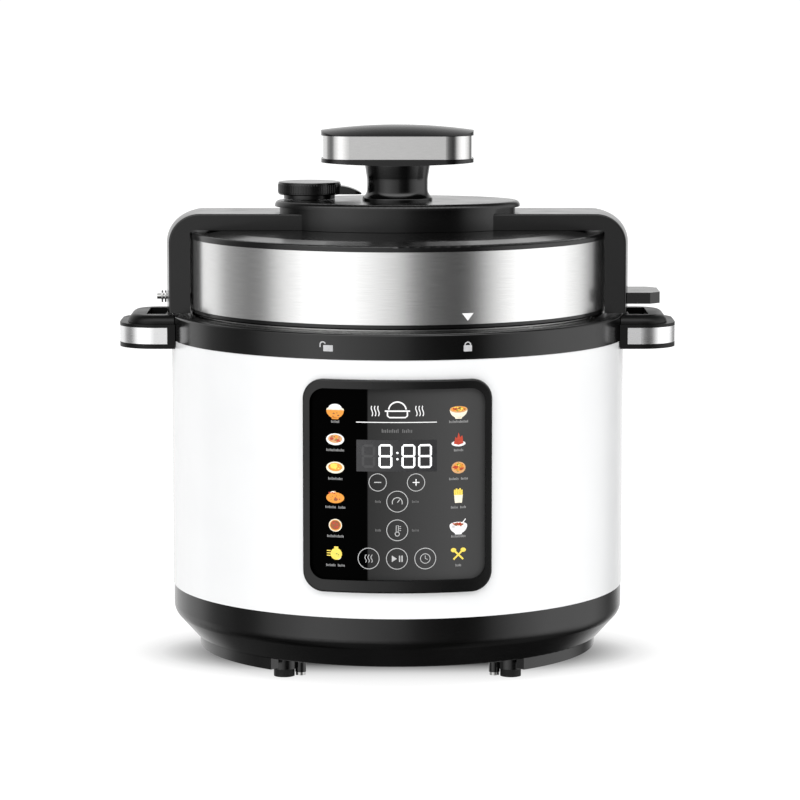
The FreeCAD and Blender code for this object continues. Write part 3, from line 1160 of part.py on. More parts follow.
def build_lid_skin():
    """Black cover, metal band and the two rims that hold the band."""
    skirt_r = f"({LID_R} - rim_width + rim_proud)"
    skirt_in = f"({skirt_r} - cover_wall)"
    rim_top = f"({BAND_TOP} + upper_rim_height)"
    cover = revolved(
        "cover_cap",
        [
            ("0", f"{COVER_TOP} - cover_wall"),
            (skirt_in, f"{COVER_TOP} - cover_wall - cover_shoulder_drop"),
            (skirt_in, f"{SEAT_TOP} + fit_gap"),
            (skirt_r, f"{SEAT_TOP} + fit_gap"),
            (skirt_r, f"{COVER_TOP} - cover_shoulder_drop"),
            (f"{skirt_r} - cover_shoulder", COVER_TOP),
            ("0", COVER_TOP),
        ],
        rounds=[(4, "cover_edge"), (5, "cover_shoulder_round")],
    )
    holes = [
        cylinder("cover_pipe_hole", "pipe_r + 2", f"{SEAT_TOP} + 5", f"{COVER_TOP} + 1", *at_valve()),
        cylinder("cover_float_hole", "float_r + 1", f"{SEAT_TOP} + 5", f"{COVER_TOP} + 1",
                 "float_x", "float_y"),
        rod("cover_pin_hole", "pin_r + pin_gap", "x", f"-{LID_R} - 1", f"-{skirt_in} + 8", "0", PIN_Z),
    ]
    for side, sign in (("right", 1), ("left", -1)):
        holes.append(cylinder(f"cover_screw_hole_{side}", "screw_r + slip_gap", f"{SEAT_TOP} + 5",
                              f"{COVER_TOP} + 1", f"{sign} * lid_screw_x"))
    finished(cut("cover_cut", cover, *holes), "lid_cover")
    band = tube("band_tube", LID_R, f"{LID_R} - band_wall", BAND_UNDER, BAND_TOP)
    pin_hole = rod("band_pin_hole", "pin_r + pin_gap", "x", f"-{LID_R} - 1", f"5 - {LID_R}", "0", PIN_Z)
    finished(cut("band_cut", band, pin_hole), "steel_band")
    finished(
        revolved(
            "lower_rim_ring",
            [
                (f"{PLATE_R} + slip_gap", LID_UNDER),
                (f"{LID_R} - 0.5", LID_UNDER),
                (f"{LID_R} - 0.5", BAND_UNDER),
                (f"{PLATE_R} + slip_gap", BAND_UNDER),
            ],
            rounds=[(1, "lower_rim_round")],
        ),
        "lower_rim",
    )
    finished(
        revolved(
            "upper_rim_ring",
            [
                (f"{skirt_r} + slip_gap", BAND_TOP),
                (f"{LID_R} + rim_proud", BAND_TOP),
                (f"{LID_R} + rim_proud", rim_top),
                (f"{skirt_r} + slip_gap", rim_top),
            ],
            rounds=[(2, "upper_rim_round")],
        ),
        "upper_rim",
    )


PIN_Z = f"({LID_UNDER} + pin_rise)"
BEAM_UNDER = f"({COVER_TOP} + beam_gap)"
BEAM_CEILING = f"({BEAM_TOP} - beam_wall)"


def build_lid_handle():
    """Black moulding over the lid: a hollow beam with two arms, the oval hub and the parking fin."""
    swept = revolved(
        "arch_section",
        [
            ("0", BEAM_UNDER),
            (ARM_IN, BEAM_UNDER),
            (ARM_IN, LID_UNDER),
            (ARM_OUT, LID_UNDER),
            (ARM_OUT, BEAM_TOP),
            ("0", BEAM_TOP),
        ],
        rounds=[(4, "arm_round"), (1, "arm_inner_round")],
    )
    slab = box("arch_slab", (f"-{ARM_OUT} - 1", f"{ARM_OUT} + 1"), ("-arm_half", "arm_half"),
               (f"{LID_UNDER} - 1", f"{BEAM_TOP} + 1"))
    arch = common("arch_block", swept, slab)

    def long_edge(edge):
        bounds = edge.BoundBox
        at_side = min(abs(bounds.YMin), abs(bounds.YMax)) > value("arm_half") - 0.01
        outside = max(abs(bounds.XMin), abs(bounds.XMax)) > value(ARM_IN)
        outer = outside or bounds.ZMin > value(BEAM_TOP) - 0.01
        low_inside = bounds.ZMax < value(BEAM_TOP) - 0.01 and min(
            math.hypot(v.X, v.Y) for v in edge.Vertexes) < value(ARM_IN) + 0.01
        flat_bottom = bounds.ZMax < value(LID_UNDER) + 0.01
        return at_side and outer and not low_inside and not flat_bottom

    arch = rounded_edges("arch_round", arch, "arm_edge", long_edge)
    wall = oval("hub_outside", "hub_half_x", "hub_half_y", BEAM_UNDER, HUB_CAP_UNDER)
    hollow = oval("hub_inside", "hub_half_x - hub_wall", "hub_half_y - hub_wall", f"{BEAM_UNDER} - 1",
                  BEAM_CEILING)
    open_top = oval("hub_open_top", "hub_half_x - hub_wall", "hub_half_y - hub_wall", BEAM_TOP,
                    f"{HUB_CAP_UNDER} + 1")
    reach = f"({LID_R} - 12)"
    pocket = box("beam_pocket", (f"-{reach}", reach), ("beam_wall - arm_half", "arm_half - beam_wall"),
                 (f"{BEAM_UNDER} - 1", BEAM_CEILING))
    fin = box("fin_block", (f"{ARM_OUT} - 5", f"{ARM_OUT} + fin_length"), ("-fin_half", "fin_half"),
              (f"{LID_UNDER} + fin_rise", f"{LID_UNDER} + fin_rise + fin_thick"))

    def fin_corner(edge):
        return edge.BoundBox.XMin > value(f"{ARM_OUT} + fin_length") - 0.01 and edge.BoundBox.YLength < 0.01

    doc.recompute()
    chamfer = doc.addObject("Part::Chamfer", "fin_chamfer")
    chamfer.Base = fin
    size = value("fin_chamfer")
    chamfer.Edges = [(n, size, size) for n, edge in enumerate(fin.Shape.Edges, start=1) if fin_corner(edge)]
    posts = []
    holes = [
        cylinder("arch_pipe_hole", "pipe_r + 2", f"{BEAM_CEILING} - 1", f"{BEAM_TOP} + 1", *at_valve()),
        cylinder("arch_float_hole", "float_r + 1", f"{BEAM_CEILING} - 1", f"{BEAM_TOP} + 1",
                 "float_x", "float_y"),
        cylinder("arch_screw_hole", "screw_r + slip_gap", f"{BEAM_CEILING} - 1", f"{BEAM_TOP} + 1"),
        rod("arch_pin_hole", "pin_r + pin_gap", "x", f"-{ARM_OUT} - 1", f"5 - {ARM_IN}", "0", PIN_Z),
    ]
    for side, sign in (("right", 1), ("left", -1)):
        x = f"{sign} * lid_screw_x"
        posts.append(cylinder(f"arch_post_{side}", "lid_screw_post_r", BEAM_UNDER,
                              f"{BEAM_CEILING} + 0.5", x))
        holes.append(cylinder(f"arch_post_hole_{side}", "screw_r + slip_gap", f"{BEAM_UNDER} - 1",
                              f"{BEAM_TOP} - 1", x))
    shell = cut("arch_hollow", fuse("arch_fuse", arch, wall), hollow, pocket, open_top)
    finished(cut("arch_cut", fuse("arch_with_posts", shell, *posts, chamfer), *holes), "lid_handle")


def build_hub_cap():
    """Oval top plate of the hub."""
    cap = oval("hub_cap_block", "hub_half_x + hub_cap_over", "hub_half_y + hub_cap_over",
               HUB_CAP_UNDER, HUB_TOP)
    cap = rounded_edges("hub_cap_edge", cap, "hub_cap_round",
                        lambda edge: edge.BoundBox.ZMin > value(HUB_TOP) - 0.01)
    holes = [
        cylinder("cap_pipe_hole", "pipe_r + fit_gap", f"{HUB_CAP_UNDER} - 1", f"{HUB_TOP} + 1", *at_valve()),
        cylinder("cap_float_hole", "float_r + float_gap", f"{HUB_CAP_UNDER} - 1", f"{HUB_TOP} + 1",
                 "float_x", "float_y"),
        cylinder("cap_screw_hole", "screw_r + slip_gap", f"{HUB_CAP_UNDER} - 1", f"{HUB_TOP} + 1"),
    ]
    finished(cut("hub_cap_cut", cap, *holes), "hub_cap")


def knob_block(name, inset, bottom, top):
    """Rounded bar in the knob's plan, smaller by an inset."""
    return rounded_box(name, (f"{inset} - knob_half", f"knob_half - ({inset})"),
                       (f"{inset} - knob_depth", f"knob_depth - ({inset})"), (bottom, top),
                       f"knob_corner - ({inset})")


def build_knob():
    """Waisted stem, knob body, metal band and domed cap, held by one screw from below."""
    stem = revolved(
        "stem_column",
        [
            ("screw_r + slip_gap", HUB_TOP),
            ("stem_foot_r", HUB_TOP),
            ("stem_foot_r", f"{HUB_TOP} + stem_foot"),
            ("stem_waist_r", f"{HUB_TOP} + stem_height / 5"),
            ("stem_waist_r", f"{HUB_TOP} + stem_height * 3 / 5"),
            ("stem_top_r", STEM_TOP),
            ("screw_r + slip_gap", STEM_TOP),
        ],
        rounds=[(2, "stem_foot_round"), (3, "stem_low_round"), (4, "stem_high_round")],
    )
    finished(stem, "knob_stem")
    pan_r = "(knob_half ^ 2 / (2 * knob_pan_sag))"
    pan_ball = doc.addObject("Part::Sphere", "pan_ball")
    bind(pan_ball, "Radius", pan_r)
    place(pan_ball, z=f"{STEM_TOP} + {pan_r}")
    pan = common("knob_pan_dome", knob_block("knob_pan_block", "0", STEM_TOP, PAN_TOP), pan_ball)
    seat = cylinder("knob_seat", "stem_top_r", STEM_TOP, PAN_TOP)
    core = knob_block("knob_core", "knob_band_inset + knob_band_wall + slip_gap", f"{PAN_TOP} - 1",
                      KNOB_BAND_TOP)
    bore = cylinder("knob_bore", "screw_r + slip_gap", f"{STEM_TOP} - 1", f"{KNOB_BAND_TOP} - 2")
    finished(cut("knob_body_cut", fuse("knob_body_fuse", pan, seat, core), bore), "knob_body")
    band = cut("knob_band_ring", knob_block("knob_band_outside", "knob_band_inset", PAN_TOP, KNOB_BAND_TOP),
               knob_block("knob_band_inside", "knob_band_inset + knob_band_wall", f"{PAN_TOP} - 1",
                          f"{KNOB_BAND_TOP} + 1"))
    finished(band, "knob_band")
    dome_r = "(knob_half ^ 2 / (2 * knob_dome))"
    brow_r = "(knob_depth ^ 2 / (2 * knob_brow))"
    dome = doc.addObject("Part::Torus", "cap_dome")
    bind(dome, "Radius1", f"{dome_r} - {brow_r}")
    bind(dome, "Radius2", brow_r)
    dome.Placement.Rotation = FreeCAD.Rotation(Vector(1, 0, 0), 90)
    place(dome, z=f"{KNOB_TOP} - {dome_r}")
    cap = common("knob_cap_top", knob_block("knob_cap_block", "0", KNOB_BAND_TOP, KNOB_TOP), dome)
    finished(cap, "knob_cap")
    head = cylinder("knob_screw_head", "screw_head_r + 1", f"{BEAM_CEILING} - screw_head", BEAM_CEILING)
    shank = cylinder("knob_screw_shank", "screw_r", f"{BEAM_CEILING} - 1", f"{KNOB_BAND_TOP} - 4")
    finished(fuse("knob_screw_fuse", head, shank), "knob_screw")
    screws = []
    for side, sign in (("right", 1), ("left", -1)):
        x = f"{sign} * lid_screw_x"
        under = f"({COVER_TOP} - cover_wall - cover_shoulder_drop - screw_head)"
        screws.append(fuse(
            f"lid_screw_{side}",
            cylinder(f"lid_screw_head_{side}", "screw_head_r + 1", under, f"{under} + screw_head", x),
            cylinder(f"lid_screw_shank_{side}", "screw_r", f"{under} + 1", f"{BEAM_CEILING} - 1", x),
        ))
    finished(group("lid_screw_group", *screws), "lid_screws")


def build_steam_valve():
    """Steam pipe through the lid with its nut and guard, and the knob that turns on it."""
    x, y = at_valve()
    pipe_under = f"({DOME_TOP} - pipe_drop)"
    pipe_top = f"({HUB_TOP} + pipe_rise)"
    outside = cylinder("pipe_outside", "pipe_r", pipe_under, pipe_top, x, y)
    flange = cylinder("pipe_flange_disc", "pipe_flange_r", PIPE_FLANGE_UNDER,
                      f"{PIPE_FLANGE_UNDER} + pipe_flange", x, y)
    bore = cylinder("pipe_bore", "pipe_bore_r", f"{pipe_under} - 1", f"{pipe_top} + 1", x, y)
    finished(cut("pipe_cut", fuse("pipe_fuse", outside, flange), bore), "steam_pipe")
    nut_under = f"({PIPE_NUT_TOP} - pipe_nut)"
    nut = doc.addObject("Part::Prism", "pipe_nut_prism")
    nut.Polygon = 6
    bind(nut, "Circumradius", "pipe_nut_r")
    bind(nut, "Height", "pipe_nut")
    place(nut, x, y, nut_under)
    nut_hole = cylinder("pipe_nut_hole", "pipe_r + slip_gap", f"{nut_under} - 1", f"{PIPE_NUT_TOP} + 1", x, y)
    finished(cut("pipe_nut_cut", nut, nut_hole), "pipe_nut")
    guard = tube("guard_tube", "guard_r", "guard_r - guard_wall",
                 f"{nut_under} - guard_height", nut_under, x, y)
    lid = tube("guard_lid", "guard_r - 0.5", "pipe_r + slip_gap",
               f"{nut_under} - guard_wall", nut_under, x, y)
    slots = []
    for n in range(4):
        slot = box(f"guard_slot_{n}", ("0", "guard_r + 2"), ("-1", "1"), ("0", "guard_height - guard_bridge"))
        slot.Placement.Rotation = FreeCAD.Rotation(Vector(0, 0, 1), 90 * n)
        place(slot, x if n != 1 and n != 3 else f"{x} + {n - 2}", y if n not in (0, 2) else f"{y} + {n - 1}",
              f"{nut_under} - guard_height - 1")
        slots.append(slot)
    finished(cut("guard_cut", fuse("guard_fuse", guard, lid), *slots), "steam_guard")

    skirt_under = f"({HUB_TOP} + valve_gap)"
    disc_under = f"({skirt_under} + skirt_height)"
    disc_top = f"({disc_under} + valve_height)"
    disc = cylinder("valve_disc", "valve_r", disc_under, disc_top, x, y)
    disc = rounded_edges("valve_disc_round", disc, "valve_edge",
                         lambda edge: isinstance(edge.Curve, Part.Circle))
    skirt = cylinder("valve_skirt", "skirt_r", skirt_under, f"{disc_under} + 1", x, y)
    tab_top = f"({disc_under} + tab_height)"
    bar = rounded_box("valve_tab_bar", (f"{x} + skirt_r - 5", f"{x} + tab_reach"),
                      (f"{y} - tab_half", f"{y} + tab_half"), (disc_under, tab_top), "tab_corner")
    falling = rod("valve_tab_fall", "tab_curve", "y", f"{y} - tab_half - 1", f"{y} + tab_half + 1",
                  f"{x} + tab_root", f"{tab_top} - tab_curve")
    tab = common("valve_tab", bar, falling)
    socket = cylinder("valve_socket", "pipe_r + fit_gap", f"{skirt_under} - 1", f"{pipe_top} + fit_gap", x, y)
    finished(cut("valve_cut", fuse("valve_fuse", disc, skirt, tab), socket), "steam_valve")


def build_float_valve():
    """Float pin that rises with pressure, and its silicone seal."""
    x, y = "float_x", "float_y"
    collar_under = f"({DOME_TOP} + fit_gap)"
    head_under = f"({DOME_TOP} - float_drop)"
    seal_under = f"({head_under} + float_head)"
    pin = cylinder("float_pin", "float_r", head_under, f"{HUB_TOP} - fit_gap", x, y)
    head = cylinder("float_head_disc", "float_head_r", head_under, seal_under, x, y)
    stop = cylinder("float_collar_disc", "float_collar_r", collar_under,
                    f"{collar_under} + float_collar", x, y)
    finished(fuse("float_fuse", pin, head, stop), "float_valve")
    finished(tube("float_seal_ring", "float_head_r + 1", "float_r", seal_under,
                  f"{seal_under} + float_seal", x, y), "float_seal")


def build_interlock_pin():
    """Sprung pin through the left arm, with two washers outside and a collar inside the lid."""
    outer_end = f"({ARM_OUT} + pin_proud)"
    inner_end = f"({outer_end} - pin_length)"
    skirt_in = f"({LID_R} - rim_width + rim_proud - cover_wall)"
    shaft = rod("pin_shaft", "pin_r", "x", f"-{outer_end}", f"-{inner_end}", "0", PIN_Z)
    stop = rod("pin_collar_disc", "pin_collar_r", "x", f"-{inner_end} - pin_collar - pin_tail",
               f"-{inner_end} - pin_tail", "0", PIN_Z)
    finished(fuse("pin_fuse", shaft, stop), "interlock_pin")
    washers = []
    for n in range(2):
        start = f"washer_inset - {outer_end} + {n} * washer_pitch"
        disc = rod(f"washer_disc_{n + 1}", "washer_r", "x", start, f"{start} + washer_thick", "0", PIN_Z)
        hole = rod(f"washer_hole_{n + 1}", "pin_r", "x", f"{start} - 1", f"{start} + washer_thick + 1",
                   "0", PIN_Z)
        washers.append(cut(f"washer_{n + 1}", disc, hole))
    finished(group("washer_group", *washers), "pin_washers")
    length = f"({skirt_in} - {inner_end} - pin_collar - pin_tail - 2 * pin_coil_gap)"
    spring = coil("pin_coil", "pin_r + 2 * pin_coil_wire_r", "pin_coil_wire_r", "pin_coil_turns", length)
    spring.Placement.Rotation = FreeCAD.Rotation(Vector(0, 1, 0), 90)
    finished(place(spring, f"pin_coil_gap - {skirt_in}", "0", PIN_Z), "pin_spring")


# ---------------------------------------------------------------- build, check and write

build_base_cover()
build_feet()
build_shell()
build_collar()
build_handles()
build_outer_pot()
build_inner_pot()
build_heating()
build_sensor()
build_pressure_switch()
build_power_board()
build_inlet()
build_cup()
build_panel()
build_lock_follower()
build_pressure_plate()
build_gasket()
build_lid_skin()
build_lid_handle()
build_hub_cap()
build_knob()
build_steam_valve()
build_float_valve()
build_interlock_pin()
doc.recompute()

for thing in doc.Objects:
    if {"Invalid", "Error"} & set(thing.State):
        raise RuntimeError(f"{thing.Label} failed: {thing.State}")
for piece in pieces:
    if piece.Shape.isNull() or not piece.Shape.isValid() or not piece.Shape.Solids:
        raise RuntimeError(f"{piece.Label} has no valid solid")

os.makedirs("parts", exist_ok=True)
for piece in pieces:
    piece.Shape.exportStep(f"parts/{piece.Label}.step")
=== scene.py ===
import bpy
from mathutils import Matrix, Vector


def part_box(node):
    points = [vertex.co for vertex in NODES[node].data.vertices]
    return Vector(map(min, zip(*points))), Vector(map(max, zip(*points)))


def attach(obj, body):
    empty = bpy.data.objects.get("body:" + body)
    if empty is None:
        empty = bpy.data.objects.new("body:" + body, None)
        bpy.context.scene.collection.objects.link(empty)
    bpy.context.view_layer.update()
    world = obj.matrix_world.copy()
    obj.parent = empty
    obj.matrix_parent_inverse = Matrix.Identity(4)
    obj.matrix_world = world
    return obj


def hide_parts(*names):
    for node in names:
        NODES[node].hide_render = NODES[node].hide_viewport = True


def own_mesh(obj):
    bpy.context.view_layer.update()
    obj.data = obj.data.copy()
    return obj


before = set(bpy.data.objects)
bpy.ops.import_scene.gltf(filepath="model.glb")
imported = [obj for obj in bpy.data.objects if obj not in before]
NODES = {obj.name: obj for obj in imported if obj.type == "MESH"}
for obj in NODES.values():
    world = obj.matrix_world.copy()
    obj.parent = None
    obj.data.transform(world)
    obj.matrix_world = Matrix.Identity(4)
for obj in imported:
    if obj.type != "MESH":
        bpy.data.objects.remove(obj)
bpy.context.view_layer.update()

import math

import bmesh
import bpy
from mathutils import Vector
from mathutils.bvhtree import BVHTree

MM = 0.001
FRONT = -1.0  # the panel's side of the y axis


# ---------------------------------------------------------------- helpers

def grey(value):
    return (value, value, value)


def math_node(tree, operation, first, second=0.0):
    """A Math node whose inputs are numbers or other nodes' outputs."""
    node = tree.nodes.new("ShaderNodeMath")
    node.operation = operation
    for socket, value in zip(node.inputs, (first, second)):
        if isinstance(value, (int, float)):
            socket.default_value = value
        else:
            tree.links.new(value, socket)
    return node.outputs[0]


def ramp_node(tree, fac, stops):
    """A ColorRamp node with stops of place, from 0 to 1, and colour."""
    node = tree.nodes.new("ShaderNodeValToRGB")
    elements = node.color_ramp.elements
    while len(elements) < len(stops):
        elements.new(0.5)
    for element, (place, color) in zip(elements, stops):
        element.position = place
        element.color = (*color, 1.0)
    tree.links.new(fac, node.inputs["Fac"])
    return node.outputs["Color"]


def new_piece(name, mesh, material, smooth=True):
    """An object made from a bmesh, which is used up."""
    data = bpy.data.meshes.new(name)
    mesh.to_mesh(data)
    mesh.free()
    for polygon in data.polygons:
        polygon.use_smooth = smooth
    data.materials.append(material)
    piece = bpy.data.objects.new(name, data)
    bpy.context.scene.collection.objects.link(piece)
    return piece


def join_rings(mesh, rings):
    """Faces between closed rings of points, with a cap at each end."""
    for one, other in zip(rings, rings[1:]):
        for n in range(len(one)):
            after = (n + 1) % len(one)
            mesh.faces.new((one[n], one[after], other[after], other[n]))
    mesh.faces.new(rings[0][::-1])
    mesh.faces.new(rings[-1])


# ---------------------------------------------------------------- materials

class Shader:
    """A node material with one Principled shader and short calls for its texture nodes."""

    def __init__(self, name, color, roughness, **sockets):
        self.material = bpy.data.materials.new(name)
        self.material.use_nodes = True
        self.tree = self.material.node_tree
        self.tree.nodes.clear()
        self.bsdf = self.tree.nodes.new("ShaderNodeBsdfPrincipled")
        output = self.tree.nodes.new("ShaderNodeOutputMaterial")
        self.tree.links.new(self.bsdf.outputs["BSDF"], output.inputs["Surface"])
        self.bsdf.inputs["Base Color"].default_value = (*color, 1.0)
        self.bsdf.inputs["Roughness"].default_value = roughness
        for socket, number in sockets.items():
            self.bsdf.inputs[socket.replace("_", " ")].default_value = number
        self.coords = self.tree.nodes.new("ShaderNodeTexCoord")
        self.normal = None

    def link(self, output, socket):
        self.tree.links.new(output, socket)

    def math(self, operation, first, second=0.0):
        return math_node(self.tree, operation, first, second)

    def place(self):
        """The place on the object, in metres, as its x, y and z."""
        split = self.tree.nodes.new("ShaderNodeSeparateXYZ")
        self.link(self.coords.outputs["Object"], split.inputs[0])
        return split.outputs

    def point(self, stretch):
        """The place on the object, in metres, stretched along each axis, for a texture."""
        mapping = self.tree.nodes.new("ShaderNodeMapping")
        mapping.inputs["Scale"].default_value = stretch
        self.link(self.coords.outputs["Object"], mapping.inputs["Vector"])
        return mapping.outputs["Vector"]

    def around(self, stretch):
        """Angle about the pot's axis, height and distance from it, for textures of turned parts."""
        x, y, z = self.place()
        angle = self.math("ARCTAN2", y, x)
        join = self.tree.nodes.new("ShaderNodeCombineXYZ")
        self.link(self.math("MULTIPLY", angle, stretch[0]), join.inputs[0])
        self.link(self.math("MULTIPLY", z, stretch[1]), join.inputs[1])
        far = self.math("SQRT", self.math("ADD", self.math("MULTIPLY", x, x), self.math("MULTIPLY", y, y)))
        self.link(self.math("MULTIPLY", far, stretch[2]), join.inputs[2])
        return join.outputs[0]

    def noise(self, scale, detail, place=None, roughness=0.5):
        node = self.tree.nodes.new("ShaderNodeTexNoise")
        node.inputs["Scale"].default_value = scale
        node.inputs["Detail"].default_value = detail
        node.inputs["Roughness"].default_value = roughness
        self.link(place or self.coords.outputs["Object"], node.inputs["Vector"])
        return node.outputs["Fac"]

    def spread(self, fac, low, high, start=0.3, end=0.7):
        node = self.tree.nodes.new("ShaderNodeMapRange")
        node.inputs["From Min"].default_value = start
        node.inputs["From Max"].default_value = end
        node.inputs["To Min"].default_value = low
        node.inputs["To Max"].default_value = high
        self.link(fac, node.inputs["Value"])
        return node.outputs["Result"]

    def colors(self, fac, stops):
        self.link(ramp_node(self.tree, fac, stops), self.bsdf.inputs["Base Color"])

    def rough(self, fac, low, high):
        self.link(self.spread(fac, low, high), self.bsdf.inputs["Roughness"])

    def bump(self, height, strength, distance):
        node = self.tree.nodes.new("ShaderNodeBump")
        node.inputs["Strength"].default_value = strength
        node.inputs["Distance"].default_value = distance
        self.link(height, node.inputs["Height"])
        if self.normal is not None:
            self.link(self.normal, node.inputs["Normal"])
        self.normal = node.outputs["Normal"]
        self.link(self.normal, self.bsdf.inputs["Normal"])


def plastic(name, color, low, high, grain, strength, lift=0.35):
    """Moulded plastic: faint cloudiness in the colour, uneven gloss and a fine skin."""
    made = Shader(name, color, low)
    lighter = tuple(c * (1.0 + lift) + 0.001 for c in color)
    made.colors(made.noise(26.0, 4.0), [(0.35, color), (0.68, lighter)])
    made.rough(made.noise(45.0, 5.0), low, high)
    made.bump(made.noise(grain, 2.0), strength, 0.0002)
    return made


def metal(name, color, low, high, stretch, strength, around=False, shade=0.86):
    """Metal with fine lines drawn along one direction."""
    made = Shader(name, color, low, Metallic=1.0)
    place = made.around(stretch) if around else made.point(stretch)
    lines = made.noise(1.0, 4.0, place, 0.65)
    darker = tuple(c * shade for c in color)
    made.colors(lines, [(0.3, darker), (0.7, color)])
    made.rough(lines, low, high)
    made.bump(lines, strength, 0.0001)
    return made


def make_materials():
    made = {}
    made["black_gloss"] = plastic("black_gloss", grey(0.0012), 0.15, 0.22, 700.0, 0.015)
    made["black_satin"] = plastic("black_satin", grey(0.005), 0.36, 0.48, 1500.0, 0.16)
    made["part_black"] = plastic("part_black", grey(0.008), 0.40, 0.55, 1200.0, 0.12)
    made["feet_rubber"] = plastic("feet_rubber", grey(0.008), 0.62, 0.80, 1800.0, 0.25)

    white = plastic("shell_white", (0.84, 0.845, 0.85), 0.20, 0.27, 260.0, 0.02, 0.02)
    white.bsdf.inputs["Coat Weight"].default_value = 0.35
    white.bsdf.inputs["Coat Roughness"].default_value = 0.08
    made["shell_white"] = white

    made["band_steel"] = metal("band_steel", (0.88, 0.88, 0.875), 0.19, 0.25, (9.0, 4200.0, 400.0), 0.03,
                               around=True)
    made["knob_steel"] = metal("knob_steel", (0.74, 0.735, 0.73), 0.12, 0.18, (180.0, 180.0, 6500.0), 0.04)
    made["trim_chrome"] = metal("trim_chrome", (0.95, 0.95, 0.955), 0.26, 0.29, (20.0, 20.0, 260.0), 0.004,
                                shade=0.97)
    made["hardware"] = metal("hardware", (0.56, 0.56, 0.55), 0.24, 0.36, (2200.0, 2200.0, 2200.0), 0.08)
    made["zinc_sheet"] = metal("zinc_sheet", (0.52, 0.53, 0.55), 0.34, 0.5, (90.0, 90.0, 60.0), 0.05)
    made["pot_metal"] = metal("pot_metal", (0.58, 0.58, 0.57), 0.30, 0.42, (30.0, 2600.0, 2600.0), 0.06,
                              around=True)
    made["plate_steel"] = metal("plate_steel", (0.62, 0.62, 0.61), 0.18, 0.28, (22.0, 2200.0, 2600.0), 0.05,
                                around=True)
    made["contact_brass"] = metal("contact_brass", (0.72, 0.50, 0.22), 0.22, 0.34,
                                  (1600.0, 3000.0, 1600.0), 0.05)
    made["pot_coating"] = plastic("pot_coating", (0.028, 0.028, 0.030), 0.42, 0.56, 2400.0, 0.22, 0.6)

    seal = plastic("silicone", (0.56, 0.57, 0.58), 0.44, 0.58, 900.0, 0.08, 0.06)
    seal.bsdf.inputs["Subsurface Weight"].default_value = 0.12
    seal.bsdf.inputs["Subsurface Radius"].default_value = (0.003, 0.003, 0.003)
    made["silicone"] = seal
    made["board_green"] = plastic("board_green", (0.012, 0.085, 0.035), 0.34, 0.5, 800.0, 0.1, 0.5)

    clear = Shader("cup_clear", (0.88, 0.90, 0.92), 0.10, Transmission_Weight=0.82, IOR=1.46)
    clear.rough(clear.noise(70.0, 4.0), 0.07, 0.16)
    clear.bump(clear.noise(500.0, 2.0), 0.04, 0.0002)
    made["cup_clear"] = clear

    made["panel_black"] = panel_glass()
    # duller variants of black_gloss for the panel's frame and the side handles
    made["frame_gloss"] = plastic("frame_gloss", grey(0.0035), 0.22, 0.30, 800.0, 0.03)
    made["frame_gloss"].bsdf.inputs["Specular IOR Level"].default_value = 0.34
    made["handle_black"] = plastic("handle_black", grey(0.0022), 0.30, 0.40, 900.0, 0.05)
    made["handle_black"].bsdf.inputs["Specular IOR Level"].default_value = 0.22
    return made


def panel_glass():
    """The panel's film: black at its left and, from a sharp edge, a charcoal field that gets lighter to the
    right; the field is a painted reflection, as the film's own reflection is turned almost off.
    """
    half_width, strip_end = 53.2, -17.9  # the film and the strip's right edge, in mm from the middle
    made = Shader("panel_black", grey(0.004), 0.3)
    across = made.spread(made.place()[0], 0.0, 1.0, -half_width * MM, half_width * MM)
    edge, soft = (strip_end + half_width) / (2 * half_width), 0.004
    # painted reflection: the charcoal field and its lightening to the right stand in for the glass's own
    # reflection
    made.colors(across, [
        (0.0, grey(0.0002)), (edge - soft, grey(0.0003)), (edge + soft, grey(0.029)),
        (0.62, grey(0.048)), (0.82, grey(0.060)), (1.0, grey(0.057)),
    ])
    made.rough(made.noise(60.0, 4.0), 0.30, 0.36)
    # the film's real reflection is nearly off; the painted reflection above takes its place
    made.bsdf.inputs["Specular IOR Level"].default_value = 0.01
    made.bump(made.noise(1600.0, 2.0), 0.03, 0.0001)
    return made


MATERIALS = make_materials()
SPECIAL_FINISH = {"panel_frame": "frame_gloss", "handle_left": "handle_black", "handle_right": "handle_black"}


def finish_of(node):
    """The record's slot for a node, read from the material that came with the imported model."""
    return NODES[node].data.materials[0].name.split(".")[0]


def paint_nodes():
    for name, piece in NODES.items():
        shader = MATERIALS[SPECIAL_FINISH.get(name, finish_of(name))]
        for material_slot in piece.material_slots:
            material_slot.link = "OBJECT"
            material_slot.material = shader.material


# ---------------------------------------------------------------- printed marks

def tree_of(node):
    mesh = bmesh.new()
    mesh.from_mesh(NODES[node].data)
    tree = BVHTree.FromBMesh(mesh)
    mesh.free()
    return tree


